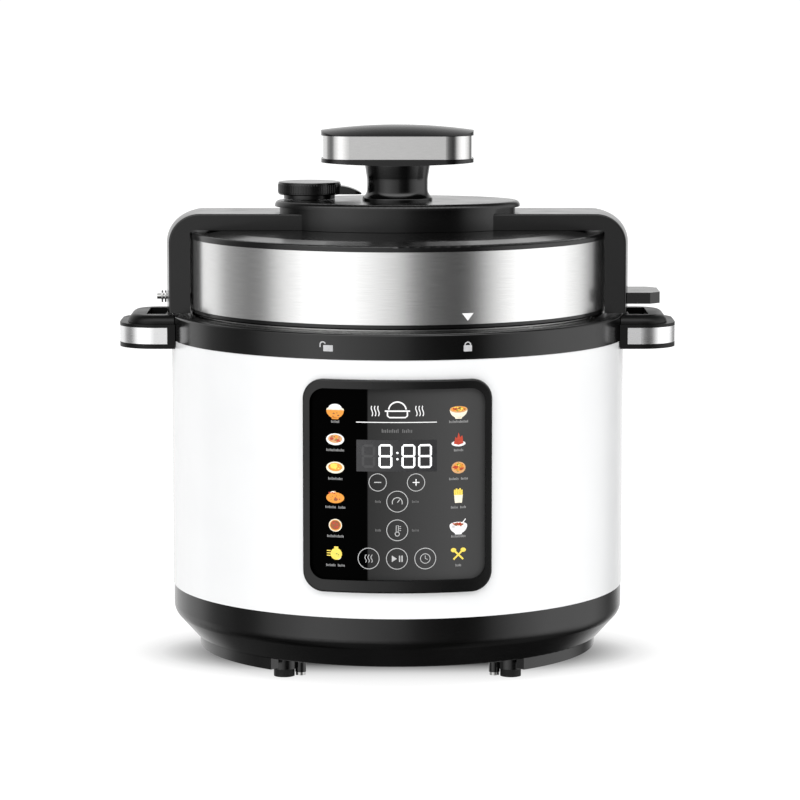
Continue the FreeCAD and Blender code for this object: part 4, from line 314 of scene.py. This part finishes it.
class Print:
    """A printed layer: flat outlines in x and z, laid on the front of a CAD node."""

    def __init__(self, name, node, material, body, lift):
        self.mesh = bmesh.new()
        self.name, self.node, self.material, self.body = name, node, material, body
        self.lift = lift * MM

    def outline(self, points):
        corners = [self.mesh.verts.new((x * MM, 0.0, z * MM)) for x, z in points]
        self.mesh.faces.new(corners)

    @staticmethod
    def arc(x, z, half_width, half_height, start, end, steps):
        """Points on an oval between two angles; a whole turn doesn't repeat its first point."""
        count = steps if end - start >= 360.0 else steps + 1
        angles = [math.radians(start + (end - start) * step / steps) for step in range(count)]
        return [(x + half_width * math.cos(a), z + half_height * math.sin(a)) for a in angles]

    def oval(self, x, z, half_width, half_height, start=0.0, end=360.0, steps=28):
        self.outline(self.arc(x, z, half_width, half_height, start, end, steps))

    def bar(self, x, z, half_width, half_height, corner=None):
        """A rectangle with round corners, nearly a capsule where no corner is given."""
        corner = min(half_width, half_height) * 0.9 if corner is None else corner
        points = []
        for sx, sz, turn in ((1, 1, 0), (-1, 1, 90), (-1, -1, 180), (1, -1, 270)):
            for step in range(5):
                angle = math.radians(turn + 90 * step / 4)
                points.append((x + sx * (half_width - corner) + corner * math.cos(angle),
                               z + sz * (half_height - corner) + corner * math.sin(angle)))
        self.outline(points)

    def line(self, points, width, closed=False):
        """A line of even width through the points."""
        points = [Vector((x, z)) for x, z in points]
        count = len(points)
        sides = []
        for index, here in enumerate(points):
            before = points[index - 1] if index or closed else here
            after = points[(index + 1) % count] if index + 1 < count or closed else here
            along = (after - before).normalized()
            across = Vector((-along.y, along.x)) * width / 2
            sides.append((here + across, here - across))
        verts = [[self.mesh.verts.new((p.x * MM, 0.0, p.y * MM)) for p in pair] for pair in sides]
        for index in range(count if closed else count - 1):
            a, b = verts[index], verts[(index + 1) % count]
            self.mesh.faces.new((a[0], b[0], b[1], a[1]))

    def ring(self, x, z, radius, width, start=0.0, end=360.0, steps=48):
        self.line(self.arc(x, z, radius, radius, start, end, steps), width, end - start >= 360.0)

    def lay(self):
        """Divides the layer finely and drops it on the node's surface, from the front."""
        mesh = self.mesh
        xs = [v.co.x for v in mesh.verts]
        step = 1.5 * MM
        cut = math.ceil(min(xs) / step) * step
        while cut < max(xs):
            bmesh.ops.bisect_plane(mesh, geom=mesh.verts[:] + mesh.edges[:] + mesh.faces[:],
                                   plane_co=(cut, 0, 0), plane_no=(1, 0, 0))
            cut += step
        tree = tree_of(self.node)
        for vert in mesh.verts:
            hit, normal, _, _ = tree.ray_cast(Vector((vert.co.x, FRONT, vert.co.z)), Vector((0, -FRONT, 0)))
            if normal.y * FRONT < 0:
                normal = -normal
            vert.co = hit + normal * self.lift
        bmesh.ops.recalc_face_normals(mesh, faces=mesh.faces[:])
        if sum(f.normal.y * f.calc_area() for f in mesh.faces) * FRONT < 0:
            bmesh.ops.reverse_faces(mesh, faces=mesh.faces[:])
        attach(new_piece(self.name, mesh, self.material), self.body)


def ink(name, color, light=0.0, roughness=0.45):
    """Printed ink with a slightly uneven tone; light is the strength of the light it gives off, painted light
    that brightens the print, except on the clock's digits, which are lit from behind.
    """
    made = Shader(name, color, roughness)
    shade = tuple(c * 0.86 for c in color)
    made.colors(made.noise(520.0, 3.0), [(0.32, shade), (0.62, color)])
    made.rough(made.noise(240.0, 2.0), roughness - 0.05, roughness + 0.08)
    # light given off by print is painted light; only the clock's digits are really lit
    if light:
        made.bsdf.inputs["Emission Color"].default_value = (*color, 1.0)
        made.bsdf.inputs["Emission Strength"].default_value = light
    return made.material


# the third number is light given off: painted light on the printed marks, the display's own light on the
# digits
INKS = {
    "white": ink("ink_white", (0.80, 0.80, 0.80), 0.25),
    "soft": ink("ink_soft", (0.34, 0.34, 0.34), 0.06),
    "line": ink("ink_line", (0.50, 0.50, 0.50), 0.12),
    "faint": ink("ink_faint", (0.17, 0.17, 0.17), 0.04),
    "window": ink("ink_window", (0.028, 0.028, 0.030), 0.0, 0.30),
    "ghost": ink("ink_ghost", (0.050, 0.050, 0.052), 0.0, 0.34),
    "digit": ink("ink_digit", (0.92, 0.94, 0.95), 0.9),
    "cream": ink("ink_cream", (0.84, 0.78, 0.62), 0.18),
    "orange": ink("ink_orange", (0.78, 0.30, 0.035), 0.16),
    "red": ink("ink_red", (0.50, 0.055, 0.025), 0.12),
    "brown": ink("ink_brown", (0.30, 0.095, 0.03), 0.10),
    "tan": ink("ink_tan", (0.66, 0.36, 0.16), 0.14),
    "yellow": ink("ink_yellow", (0.88, 0.66, 0.10), 0.18),
    "green": ink("ink_green", (0.14, 0.30, 0.05), 0.08),
}


def panel_layers(prefix, names):
    """One layer for each ink, each a little above the one before it."""
    lift, rise = 0.05, 0.012
    return {name: Print(f"{prefix}_{name}", "touch_panel", INKS[name], "base", lift + rise * n)
            for n, name in enumerate(names)}


def seven_segments(layer, x, z, width, height, stroke):
    """One digit of the clock, as its seven separate bars."""
    half_w, half_h = width / 2, height / 2
    gap, tip = 0.18, stroke / 2
    for level in (-1, 0, 1):
        zz = z + level * (half_h - tip)
        left, right = x - half_w + tip + gap, x + half_w - tip - gap
        layer.outline([(left, zz), (left + tip, zz + tip), (right - tip, zz + tip), (right, zz),
                       (right - tip, zz - tip), (left + tip, zz - tip)])
    for side in (-1, 1):
        xx = x + side * (half_w - tip)
        for low, high in ((z - half_h + tip + gap, z - gap), (z + gap, z + half_h - tip - gap)):
            layer.outline([(xx, low), (xx + tip, low + tip), (xx + tip, high - tip), (xx, high),
                           (xx - tip, high - tip), (xx - tip, low + tip)])


def sprinkle(kit, x, z, half_width, half_height, colors, count):
    """Small bits spread evenly over an oval, in turns of colour."""
    golden_angle = 2.39996
    for bit in range(count):
        out = math.sqrt((bit + 0.5) / count)
        size = 0.24 + 0.09 * (bit * 7 % 4)
        kit[colors[bit % len(colors)]].oval(x + half_width * out * math.cos(bit * golden_angle),
                                            z + half_height * out * math.sin(bit * golden_angle),
                                            size, 0.7 * size, steps=8)


def bowl(kit, x, z, rim, side, food, garnish=()):
    """A bowl seen from slightly above: its side, its rim and what is in it."""
    kit[side].oval(x, z + 0.2, 4.0, 3.8, 180, 360)
    kit[side].bar(x, z - 3.5, 1.6, 0.5)
    kit[rim].oval(x, z + 0.3, 4.0, 1.5)
    kit[food].oval(x, z + 0.5, 3.4, 1.15)
    for color, dx, dz, r in garnish:
        kit[color].oval(x + dx, z + dz, r, r * 0.7, steps=12)


def plate(kit, x, z, rim, food, garnish=(), height=2.7):
    """A round plate seen from slightly above, with food heaped on it."""
    kit[rim].oval(x, z, 4.1, height)
    kit[food].oval(x, z + 0.25, 3.2, height * 0.72)
    for color, dx, dz, r in garnish:
        kit[color].oval(x + dx, z + dz, r, r * 0.75, steps=12)


def label(layer, x, z, *words, height=1.6):
    """A small row of plain strokes in place of a caption; each word is its number of strokes."""
    width, pitch, space = 0.22 * height, 0.46 * height, 0.8 * height
    total = sum(words) * pitch + space * (len(words) - 1) - (pitch - width)
    start = x - total / 2
    for word in words:
        for block in range(word):
            tall = height if block % 3 == 0 else 0.78 * height
            layer.bar(start + width / 2, z - (height - tall) / 2, width / 2, tall / 2, 0.1 * height)
            start += pitch
        start += space


class Enlarged:
    """Marks drawn inside this block are made larger about a point once they are drawn."""

    def __init__(self, kit, x, z, factor):
        self.kit, self.x, self.z, self.factor = kit, x * MM, z * MM, factor

    def __enter__(self):
        self.drawn = {name: len(layer.mesh.verts) for name, layer in self.kit.items()}

    def __exit__(self, *trouble):
        for name, layer in self.kit.items():
            for vert in list(layer.mesh.verts)[self.drawn[name]:]:
                vert.co.x = self.x + (vert.co.x - self.x) * self.factor
                vert.co.z = self.z + (vert.co.z - self.z) * self.factor


# the panel's marks, in mm: x from its middle and z above the table
ICON = 1.33  # how much larger the icons are than they are drawn
LEFT_ICONS, RIGHT_ICONS = -37.5, 36.8
ICON_ROWS = (175.2, 157.4, 140.2, 122.6, 105.0, 87.4)
CAPTION_ROWS = (168.2, 150.9, 133.5, 116.1, 98.4, 80.6)
# strokes in each word of each caption
LEFT_CAPTIONS = ((7,), (15,), (12,), (9, 6), (14,), (8, 6))
RIGHT_CAPTIONS = ((16,), (8,), (8, 6), (6, 5), (12,), (5,))
MINUS, PLUS, DIAL, HEAT = (-11.9, 131.8), (11.2, 131.8), (-0.1, 120.2), (-0.1, 102.7)
WARM, START, TIMER = (-17.4, 85.3), (-0.3, 85.3), (16.8, 85.3)
SMALL_BUTTON, LARGE_BUTTON = 5.25, 6.35


def print_left_icons(kit):
    x = LEFT_ICONS
    rows = ICON_ROWS
    with Enlarged(kit, x, rows[0], ICON):
        bowl(kit, x, rows[0] - 0.2, "cream", "orange", "cream")
        kit["white"].oval(x, rows[0] + 0.9, 3.0, 1.9, 0, 180)
        kit["white"].oval(x, rows[0] + 0.95, 3.0, 0.7, 180, 360)
        sprinkle(kit, x, rows[0] - 1.9, 2.2, 1.2, ("tan", "brown"), 9)
    with Enlarged(kit, x, rows[1], ICON):
        plate(kit, x, rows[1], "white", "tan",
              [("red", -1.6, 0.3, 0.9), ("orange", 0.4, 1.1, 1.0), ("red", 1.3, -0.4, 0.8),
               ("cream", -0.4, -0.7, 0.7), ("tan", 1.7, 1.0, 0.7), ("green", 0.5, 0.1, 0.4)])
        sprinkle(kit, x, rows[1] + 0.2, 2.9, 1.7, ("red", "cream", "brown", "white"), 20)
    with Enlarged(kit, x, rows[2], ICON):
        plate(kit, x, rows[2], "cream", "orange", [("yellow", -0.6, 0.7, 1.7)])
        sprinkle(kit, x, rows[2] + 0.2, 2.9, 1.7, ("brown", "tan", "yellow"), 14)
    with Enlarged(kit, x, rows[3], ICON):
        plate(kit, x, rows[3] - 0.6, "orange", "tan",
              [("cream", -0.9, 1.9, 1.5), ("tan", 1.4, 0.7, 1.4), ("red", -2.6, 2.2, 0.5),
               ("brown", 0.2, -0.8, 0.9), ("white", 2.9, -0.9, 0.6)], 2.5)
        sprinkle(kit, x, rows[3] + 0.2, 3.0, 2.2, ("brown", "cream", "red", "tan"), 22)
    with Enlarged(kit, x, rows[4], ICON):
        kit["cream"].oval(x, rows[4], 3.0, 2.9)
        kit["orange"].oval(x, rows[4], 2.6, 2.5)
        kit["brown"].oval(x, rows[4] + 0.1, 2.2, 2.1)
        for dx, dz in ((-0.9, 0.8), (0.8, 0.6), (-0.2, -0.9), (1.0, -0.6)):
            kit["red"].oval(x + dx, rows[4] + dz, 0.5, 0.4, steps=12)
        sprinkle(kit, x, rows[4] + 0.1, 1.9, 1.8, ("orange", "tan", "red", "cream"), 16)
    with Enlarged(kit, x, rows[5], ICON):
        kit["yellow"].oval(x + 0.4, rows[5] + 0.1, 2.6, 2.7)
        kit["white"].oval(x + 0.9, rows[5] - 0.9, 1.8, 1.7)
        kit["yellow"].bar(x + 0.4, rows[5] + 3.1, 1.0, 0.4)
        for dz in (1.5, 0.4, -0.7):
            kit["yellow"].bar(x - 3.0, rows[5] + dz, 0.9, 0.22)
        sprinkle(kit, x + 0.9, rows[5] - 0.9, 1.4, 1.3, ("green", "red", "orange"), 9)


def print_right_icons(kit):
    x = RIGHT_ICONS
    rows = ICON_ROWS
    with Enlarged(kit, x, rows[0], ICON):
        bowl(kit, x, rows[0], "tan", "cream", "orange",
             [("red", -1.6, 0.6, 0.8), ("brown", 0.2, 0.7, 0.7), ("yellow", 1.5, 0.5, 0.6),
              ("red", 0.9, 0.1, 0.5)])
        sprinkle(kit, x, rows[0] + 0.5, 3.0, 0.9, ("red", "brown", "yellow", "green"), 16)
    with Enlarged(kit, x, rows[1], ICON):
        kit["white"].oval(x, rows[1] - 1.9, 3.2, 1.3)
        kit["red"].outline([(x - 2.2, rows[1] - 1.9), (x - 1.4, rows[1] + 1.2), (x - 0.7, rows[1] + 0.4),
                            (x, rows[1] + 3.2), (x + 0.8, rows[1] + 0.9), (x + 1.7, rows[1] + 1.9),
                            (x + 2.2, rows[1] - 1.8), (x, rows[1] - 2.5)])
        kit["orange"].oval(x - 0.2, rows[1] - 0.6, 0.6, 0.9, steps=12)
        sprinkle(kit, x, rows[1] - 0.6, 1.3, 1.3, ("brown", "red", "brown"), 10)
    with Enlarged(kit, x, rows[2], ICON):
        kit["tan"].oval(x, rows[2], 3.2, 2.7)
        kit["orange"].oval(x + 0.1, rows[2] + 0.3, 2.5, 1.9)
        for color, dx, dz, r in (("red", -1.2, 0.0, 0.8), ("yellow", 0.2, 1.1, 0.6),
                                 ("green", -0.4, 1.4, 0.4), ("brown", 1.2, -0.6, 0.8),
                                 ("cream", 1.0, 0.8, 0.5)):
            kit[color].oval(x + dx, rows[2] + dz, r, r * 0.8, steps=12)
        sprinkle(kit, x, rows[2] + 0.1, 2.5, 2.1, ("brown", "red", "cream", "green"), 20)
    with Enlarged(kit, x, rows[3], ICON):
        kit["cream"].outline([(x - 2.0, rows[3] + 0.9), (x + 2.0, rows[3] + 0.9), (x + 1.6, rows[3] - 2.9),
                              (x - 1.6, rows[3] - 2.9)])
        for dx, tall in ((-1.7, 2.9), (-0.9, 3.4), (-0.1, 3.0), (0.7, 3.5), (1.5, 2.8)):
            kit["yellow"].bar(x + dx, rows[3] + tall / 2 + 0.5, 0.36, tall / 2 - 0.2, 0.15)
    with Enlarged(kit, x, rows[4], ICON):
        bowl(kit, x, rows[4] - 0.2, "white", "white", "cream",
             [("brown", -1.0, 0.7, 1.0), ("red", 0.6, 0.8, 0.9), ("brown", 1.7, 0.6, 0.6)])
        sprinkle(kit, x, rows[4] + 0.5, 2.7, 0.8, ("red", "brown", "tan"), 12)
        kit["white"].line([(x + 1.6, rows[4] + 0.8), (x + 3.3, rows[4] + 2.9)], 0.45)
    # two spoons crossed, as the mark for a programme of one's own
    with Enlarged(kit, x, rows[5], ICON):
        for side in (-1, 1):
            kit["yellow"].line([(x - side * 2.2, rows[5] - 2.4), (x + side * 1.6, rows[5] + 1.4)], 0.8)
            kit["yellow"].oval(x + side * 2.2, rows[5] + 1.9, 1.25, 1.0)


def print_panel():
    names = ["soft", "cream", "white", "tan", "orange", "brown", "red", "yellow", "green"]
    kit = panel_layers("icons", names)
    print_left_icons(kit)
    print_right_icons(kit)
    for x, captions in ((LEFT_ICONS, LEFT_CAPTIONS), (RIGHT_ICONS, RIGHT_CAPTIONS)):
        for z, words in zip(CAPTION_ROWS, captions):
            label(kit["soft"], x, z, *words)
    for layer in kit.values():
        layer.lay()


def print_controls():
    """The clock, the mark above it, and the buttons with their symbols."""
    kit = panel_layers("controls", ["window", "ghost", "digit", "line", "white", "faint"])
    kit["window"].bar(-0.5, 147.95, 24.2, 9.6, 0.3)
    digit_width = 8.2
    seven_segments(kit["ghost"], -17.4, 147.7, digit_width, 14.2, 1.5)
    for x in (-7.2, 6.6, 16.6):
        seven_segments(kit["digit"], x, 147.75, digit_width, 14.4, 1.15)
    for dz in (1.9, -1.9):
        kit["digit"].oval(0.0, 147.9 + dz, 0.65, 0.65, steps=14)
    kit["white"].bar(-0.6, 168.25, 24.3, 0.27, 0.2)

    # a covered pot with steam, in place of a name
    with Enlarged(kit, 0.0, 175.0, 1.15):
        kit["white"].line([(-5.2, 174.6), (-5.2, 172.6), (-4.2, 171.7), (4.2, 171.7), (5.2, 172.6),
                           (5.2, 174.6)], 0.75)
        kit["white"].line([(-6.6, 175.1), (6.6, 175.1)], 0.75)
        kit["white"].ring(0.0, 175.3, 4.6, 0.75, 8, 172, 20)
        for x in (-11.6, 11.6):
            for dx in (-1.7, 0.0, 1.7):
                kit["white"].line([(x + dx + 0.4 * math.sin(k), 172.4 + k * 0.9) for k in range(7)], 0.5)
    label(kit["faint"], -0.3, 163.1, 10, 6, height=2.3)

    thin = 0.42
    for buttons, radius in (((MINUS, PLUS), SMALL_BUTTON), ((DIAL, HEAT, WARM, START, TIMER), LARGE_BUTTON)):
        for x, z in buttons:
            kit["line"].ring(x, z, radius, thin)
    kit["line"].bar(*MINUS, 2.2, 0.3)
    kit["white"].bar(*PLUS, 2.1, 0.3)
    kit["white"].bar(*PLUS, 0.3, 2.1)
    for _, z in (DIAL, HEAT):
        label(kit["faint"], -11.7, z - 0.05, 5)
        label(kit["faint"], 10.8, z - 0.05, 6)
    # a dial with its hand, for pressure
    x, z = DIAL
    kit["line"].ring(x, z - 0.6, 3.0, 0.5, -20, 200, 24)
    kit["line"].line([(x, z - 0.6), (x + 1.5, z + 1.2)], 0.5)
    # a thermometer
    x, z = HEAT
    kit["line"].ring(x, z - 2.3, 1.25, 0.45)
    kit["line"].line([(x - 0.65, z - 1.1), (x - 0.65, z + 2.9), (x + 0.65, z + 2.9), (x + 0.65, z - 1.1)],
                     0.4)
    for dz in (0.0, 1.2, 2.4):
        kit["line"].bar(x + 1.8, z - 0.1 + dz, 0.55, 0.2)
    # waves of warmth
    x, z = WARM
    for dx in (-1.8, 0.0, 1.8):
        kit["line"].line([(x + dx + 0.45 * math.sin(k * 0.9), z - 2.4 + k * 0.6) for k in range(9)], thin)
    # start and pause
    x, z = START
    kit["line"].outline([(x - 3.1, z + 2.0), (x - 3.1, z - 2.0), (x, z)])
    for dx in (1.6, 3.1):
        kit["line"].bar(x + dx, z, 0.4, 2.0)
    # a clock
    x, z = TIMER
    kit["line"].ring(x, z, 2.9, thin)
    kit["line"].line([(x, z + 1.9), (x, z), (x + 1.5, z - 0.6)], thin)
    for layer in kit.values():
        layer.lay()


def print_locks():
    """The closed and open padlocks on the collar, and the lid's pointer above them."""
    # the silver lock marks give off a little light: painted light on print
    silver = ink("ink_silver", (0.50, 0.50, 0.51), 0.05, 0.35)
    lift = 0.07
    locks = Print("lock_marks", "collar", silver, "base", lift)
    for x, closed in ((42.3, True), (-42.6, False)):
        if closed:
            locks.bar(x, 212.3, 2.5, 1.9, 0.4)
            locks.ring(x, 214.3, 1.7, 0.7, 0, 180, 14)
        else:
            locks.bar(x + 0.9, 212.3, 2.9, 1.9, 0.4)
            locks.ring(x - 2.3, 214.5, 1.6, 0.7, 20, 180, 14)
            locks.line([(x - 3.9, 214.5), (x - 3.9, 212.9)], 0.7)
    locks.lay()
    # the pointer gives off light as well: painted light on print
    pointer = Print("lid_pointer", "steel_band", ink("ink_pointer", grey(0.80), 0.3, 0.4), "lid", lift)
    x, z = 42.5, 229.9
    pointer.outline([(x - 3.5, z + 2.3), (x + 3.5, z + 2.3), (x, z - 2.3)])
    pointer.lay()


# ---------------------------------------------------------------- grip of the steam valve

def grip():
    """Fine upright ribs around the rim of the steam valve's knob."""
    (low_x, low_y, low_z), (high_x, high_y, high_z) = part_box("steam_valve")
    radius = (high_y - low_y) / 2
    centre_x, centre_y = low_x + radius, (low_y + high_y) / 2
    top, bottom = high_z - 1.3 * MM, high_z - 6.9 * MM  # just inside the rim's two round edges
    ribs, rib_height, fade = 72, 0.28 * MM, 0.4 * MM
    half = 0.3 * 2 * math.pi / ribs  # half of a rib, as an angle
    levels = ((bottom, 0.3), (bottom + fade, 1.0), (top - fade, 1.0), (top, 0.3))
    mesh = bmesh.new()
    for rib in range(ribs):
        middle = 2 * math.pi * rib / ribs
        rings = []
        for level, out in levels:
            ring = []
            for turn, rise in ((-half, -0.2), (-half * 0.5, out), (half * 0.5, out), (half, -0.2)):
                reach, angle = radius + rise * rib_height, middle + turn
                ring.append(mesh.verts.new((centre_x + reach * math.cos(angle),
                                            centre_y + reach * math.sin(angle), level)))
            rings.append(ring)
        join_rings(mesh, rings)
    bmesh.ops.recalc_face_normals(mesh, faces=mesh.faces[:])
    piece = new_piece("valve_grip", mesh, MATERIALS["black_gloss"].material, smooth=False)
    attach(piece, "steam_valve")


# ---------------------------------------------------------------- springs

def spring(node, body, axis, turns, wire):
    """A coil in place of a CAD spring."""
    low, high = (Vector(corner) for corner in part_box(node))
    right, up = (axis + 1) % 3, (axis + 2) % 3
    centre = (low + high) / 2
    length = high[axis] - low[axis]
    radius = (high[right] - low[right]) / 2 - wire
    steps, sides = 40 * turns, 10
    mesh = bmesh.new()
    rings = []
    for step in range(steps + 1):
        share = step / steps
        angle = 2 * math.pi * turns * share
        ring = []
        for side in range(sides):
            tilt = 2 * math.pi * side / sides
            out = radius + wire * math.cos(tilt)
            point = Vector()
            point[axis] = low[axis] + wire + share * (length - 2 * wire) + wire * math.sin(tilt)
            point[right] = centre[right] + out * math.cos(angle)
            point[up] = centre[up] + out * math.sin(angle)
            ring.append(mesh.verts.new(point))
        rings.append(ring)
    join_rings(mesh, rings)
    bmesh.ops.recalc_face_normals(mesh, faces=mesh.faces[:])
    piece = new_piece(node.replace("spring", "coil"), mesh, MATERIALS[finish_of(node)].material)
    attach(piece, body)
    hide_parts(node)
    direction = Vector()
    direction[axis] = 1.0
    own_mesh(piece)


# ---------------------------------------------------------------- studio

def studio():
    """Soft light from all round: two tall screens in front, a bright back and a broad light above."""
    world = bpy.data.worlds.new("studio")
    bpy.context.scene.world = world
    world.use_nodes = True
    tree = world.node_tree
    tree.nodes.clear()
    new, link = tree.nodes.new, tree.links.new

    coords = new("ShaderNodeTexCoord")
    split = new("ShaderNodeSeparateXYZ")
    link(coords.outputs["Generated"], split.inputs[0])
    x, y, z = split.outputs
    forward = math_node(tree, "MULTIPLY", y, -1.0)

    def ramp(fac, stops, start, span, share=1.0):
        """Brightness by an angle in degrees; fac is 0 at start and 1 a span further on."""
        stops = [((angle - start) / span, grey(value * share)) for angle, value in stops]
        return ramp_node(tree, fac, stops)

    # ramp colours stop at 1, so the round is kept at a half, and the top at a quarter, of its brightness
    half, quarter = 0.5, 0.25
    # the angle round the object: 0 in front, 90 at the right, -90 at the left and 180 at the back
    turn = math_node(tree, "ARCTAN2", x, forward)
    turn = math_node(tree, "ADD", math_node(tree, "DIVIDE", turn, 2 * math.pi), 0.5)
    around = ramp(turn, [
        (-180, 0.95), (-138, 1.0), (-120, 0.95), (-108, 0.40), (-88, 0.19), (-77, 0.28), (-68, 0.85),
        (-58, 1.12), (-45, 1.55), (-32, 1.50), (-16, 1.12), (2, 0.72), (9, 0.27), (18, 0.12), (34, 0.05),
        (42, 0.12), (51, 0.65), (62, 1.15), (80, 1.60), (92, 1.50), (104, 1.25), (120, 0.90), (130, 0.45),
        (140, 0.15), (150, 0.35), (162, 0.90), (180, 0.95),
    ], -180, 360, half)

    # the angle above the horizon: where the overhead light takes over, and how dark it is below
    height = math_node(tree, "DIVIDE", math_node(tree, "ARCSINE", z), math.pi)
    height = math_node(tree, "ADD", height, 0.5)
    top = ramp(height, [(-90, 0.0), (12, 0.0), (26, 0.25), (40, 0.85), (60, 1.0), (90, 1.0)], -90, 180)
    low = ramp(height, [(-90, 0.05), (-38, 0.12), (-20, 0.9), (-16, 1.0)], -90, 180)
    # overhead the light changes from the front horizon, 0, over the top, 90, to the back, 180
    over = math_node(tree, "DIVIDE", math_node(tree, "ARCTAN2", z, forward), math.pi)
    above = ramp(over, [
        (0, 0.8), (28, 1.4), (38, 3.1), (62, 3.1), (72, 0.5), (90, 0.12), (118, 0.12), (140, 0.34),
        (155, 0.42), (172, 0.9),
    ], 0, 180, quarter)

    sides = new("ShaderNodeMix")
    sides.data_type = "RGBA"
    sides.blend_type = "MULTIPLY"
    sides.inputs["Factor"].default_value = 1.0
    link(around, sides.inputs["A"])
    link(low, sides.inputs["B"])

    mix = new("ShaderNodeMix")
    mix.data_type = "RGBA"
    link(top, mix.inputs["Factor"])
    link(sides.outputs["Result"], mix.inputs["A"])
    double = new("ShaderNodeVectorMath")
    double.operation = "SCALE"
    double.inputs["Scale"].default_value = half / quarter
    link(above, double.inputs[0])
    link(double.outputs[0], mix.inputs["B"])

    lit = new("ShaderNodeBackground")
    lit.inputs["Strength"].default_value = 1 / half
    link(mix.outputs["Result"], lit.inputs["Color"])
    paper = new("ShaderNodeBackground")
    paper.inputs["Color"].default_value = (1.0, 1.0, 1.0, 1.0)
    paper.inputs["Strength"].default_value = 1.05
    path = new("ShaderNodeLightPath")
    choose = new("ShaderNodeMixShader")
    link(path.outputs["Is Camera Ray"], choose.inputs["Fac"])
    link(lit.outputs[0], choose.inputs[1])
    link(paper.outputs[0], choose.inputs[2])
    output = new("ShaderNodeOutputWorld")
    link(choose.outputs[0], output.inputs["Surface"])
    bpy.context.scene.view_settings.view_transform = "Standard"


def floor():
    """A pale table that gives off its own light, dimmer under the object: a painted shadow."""
    radius = 9.0
    shade_x, shade_y = 0.140, 0.062  # metres from the middle in which the shade grows by one step
    widest = 4.0  # steps from the middle, where the table is as light as anywhere
    mesh = bmesh.new()
    bmesh.ops.create_circle(mesh, cap_ends=True, segments=96, radius=radius)
    paper = Shader("paper", grey(0.25), 0.9)
    paper.bsdf.inputs["Specular IOR Level"].default_value = 0.0
    x, y, _ = paper.place()
    across = paper.math("POWER", paper.math("DIVIDE", paper.math("ABSOLUTE", x), shade_x), 3.0)
    along = paper.math("POWER", paper.math("DIVIDE", paper.math("ABSOLUTE", y), shade_y), 2.0)
    reach = paper.math("DIVIDE", paper.math("ADD", across, along), widest)
    # painted shadow: the floor's own light runs from dark under the middle to full strength four steps out
    floor_light_and_painted_shadow = ramp_node(paper.tree, reach, [(steps / widest, grey(value)) for steps, value in (
        (0.3, 0.02), (0.53, 0.10), (0.7, 0.27), (1.0, 0.50), (1.31, 0.72), (1.66, 0.84), (2.1, 0.92),
        (2.56, 0.98), (3.06, 1.0))])
    paper.link(floor_light_and_painted_shadow, paper.bsdf.inputs["Emission Color"])
    paper.bsdf.inputs["Emission Strength"].default_value = 0.95
    piece = new_piece("floor", mesh, paper.material, smooth=False)
    piece.visible_glossy = False


def camera():
    """A long lens that looks slightly down on the point at height middle on the pot's axis."""
    tilt, distance, middle = math.radians(7.1665), 2.2784, 0.1636
    data = bpy.data.cameras.new("camera")
    data.lens, data.sensor_width = 159.9, 36.0
    data.shift_x = 0.0032
    data.clip_start, data.clip_end = 0.05, 50.0
    piece = bpy.data.objects.new("camera", data)
    bpy.context.scene.collection.objects.link(piece)
    piece.location = (0.0, -distance * math.cos(tilt), middle + distance * math.sin(tilt))
    piece.rotation_euler = (math.pi / 2 - tilt, 0.0, 0.0)
    bpy.context.scene.camera = piece


paint_nodes()
print_panel()
print_controls()
print_locks()
grip()
spring("pin_spring", "lid", axis=0, turns=5, wire=0.25 * MM)
spring("sensor_spring", "base", axis=2, turns=4, wire=0.6 * MM)
studio()
floor()
camera()
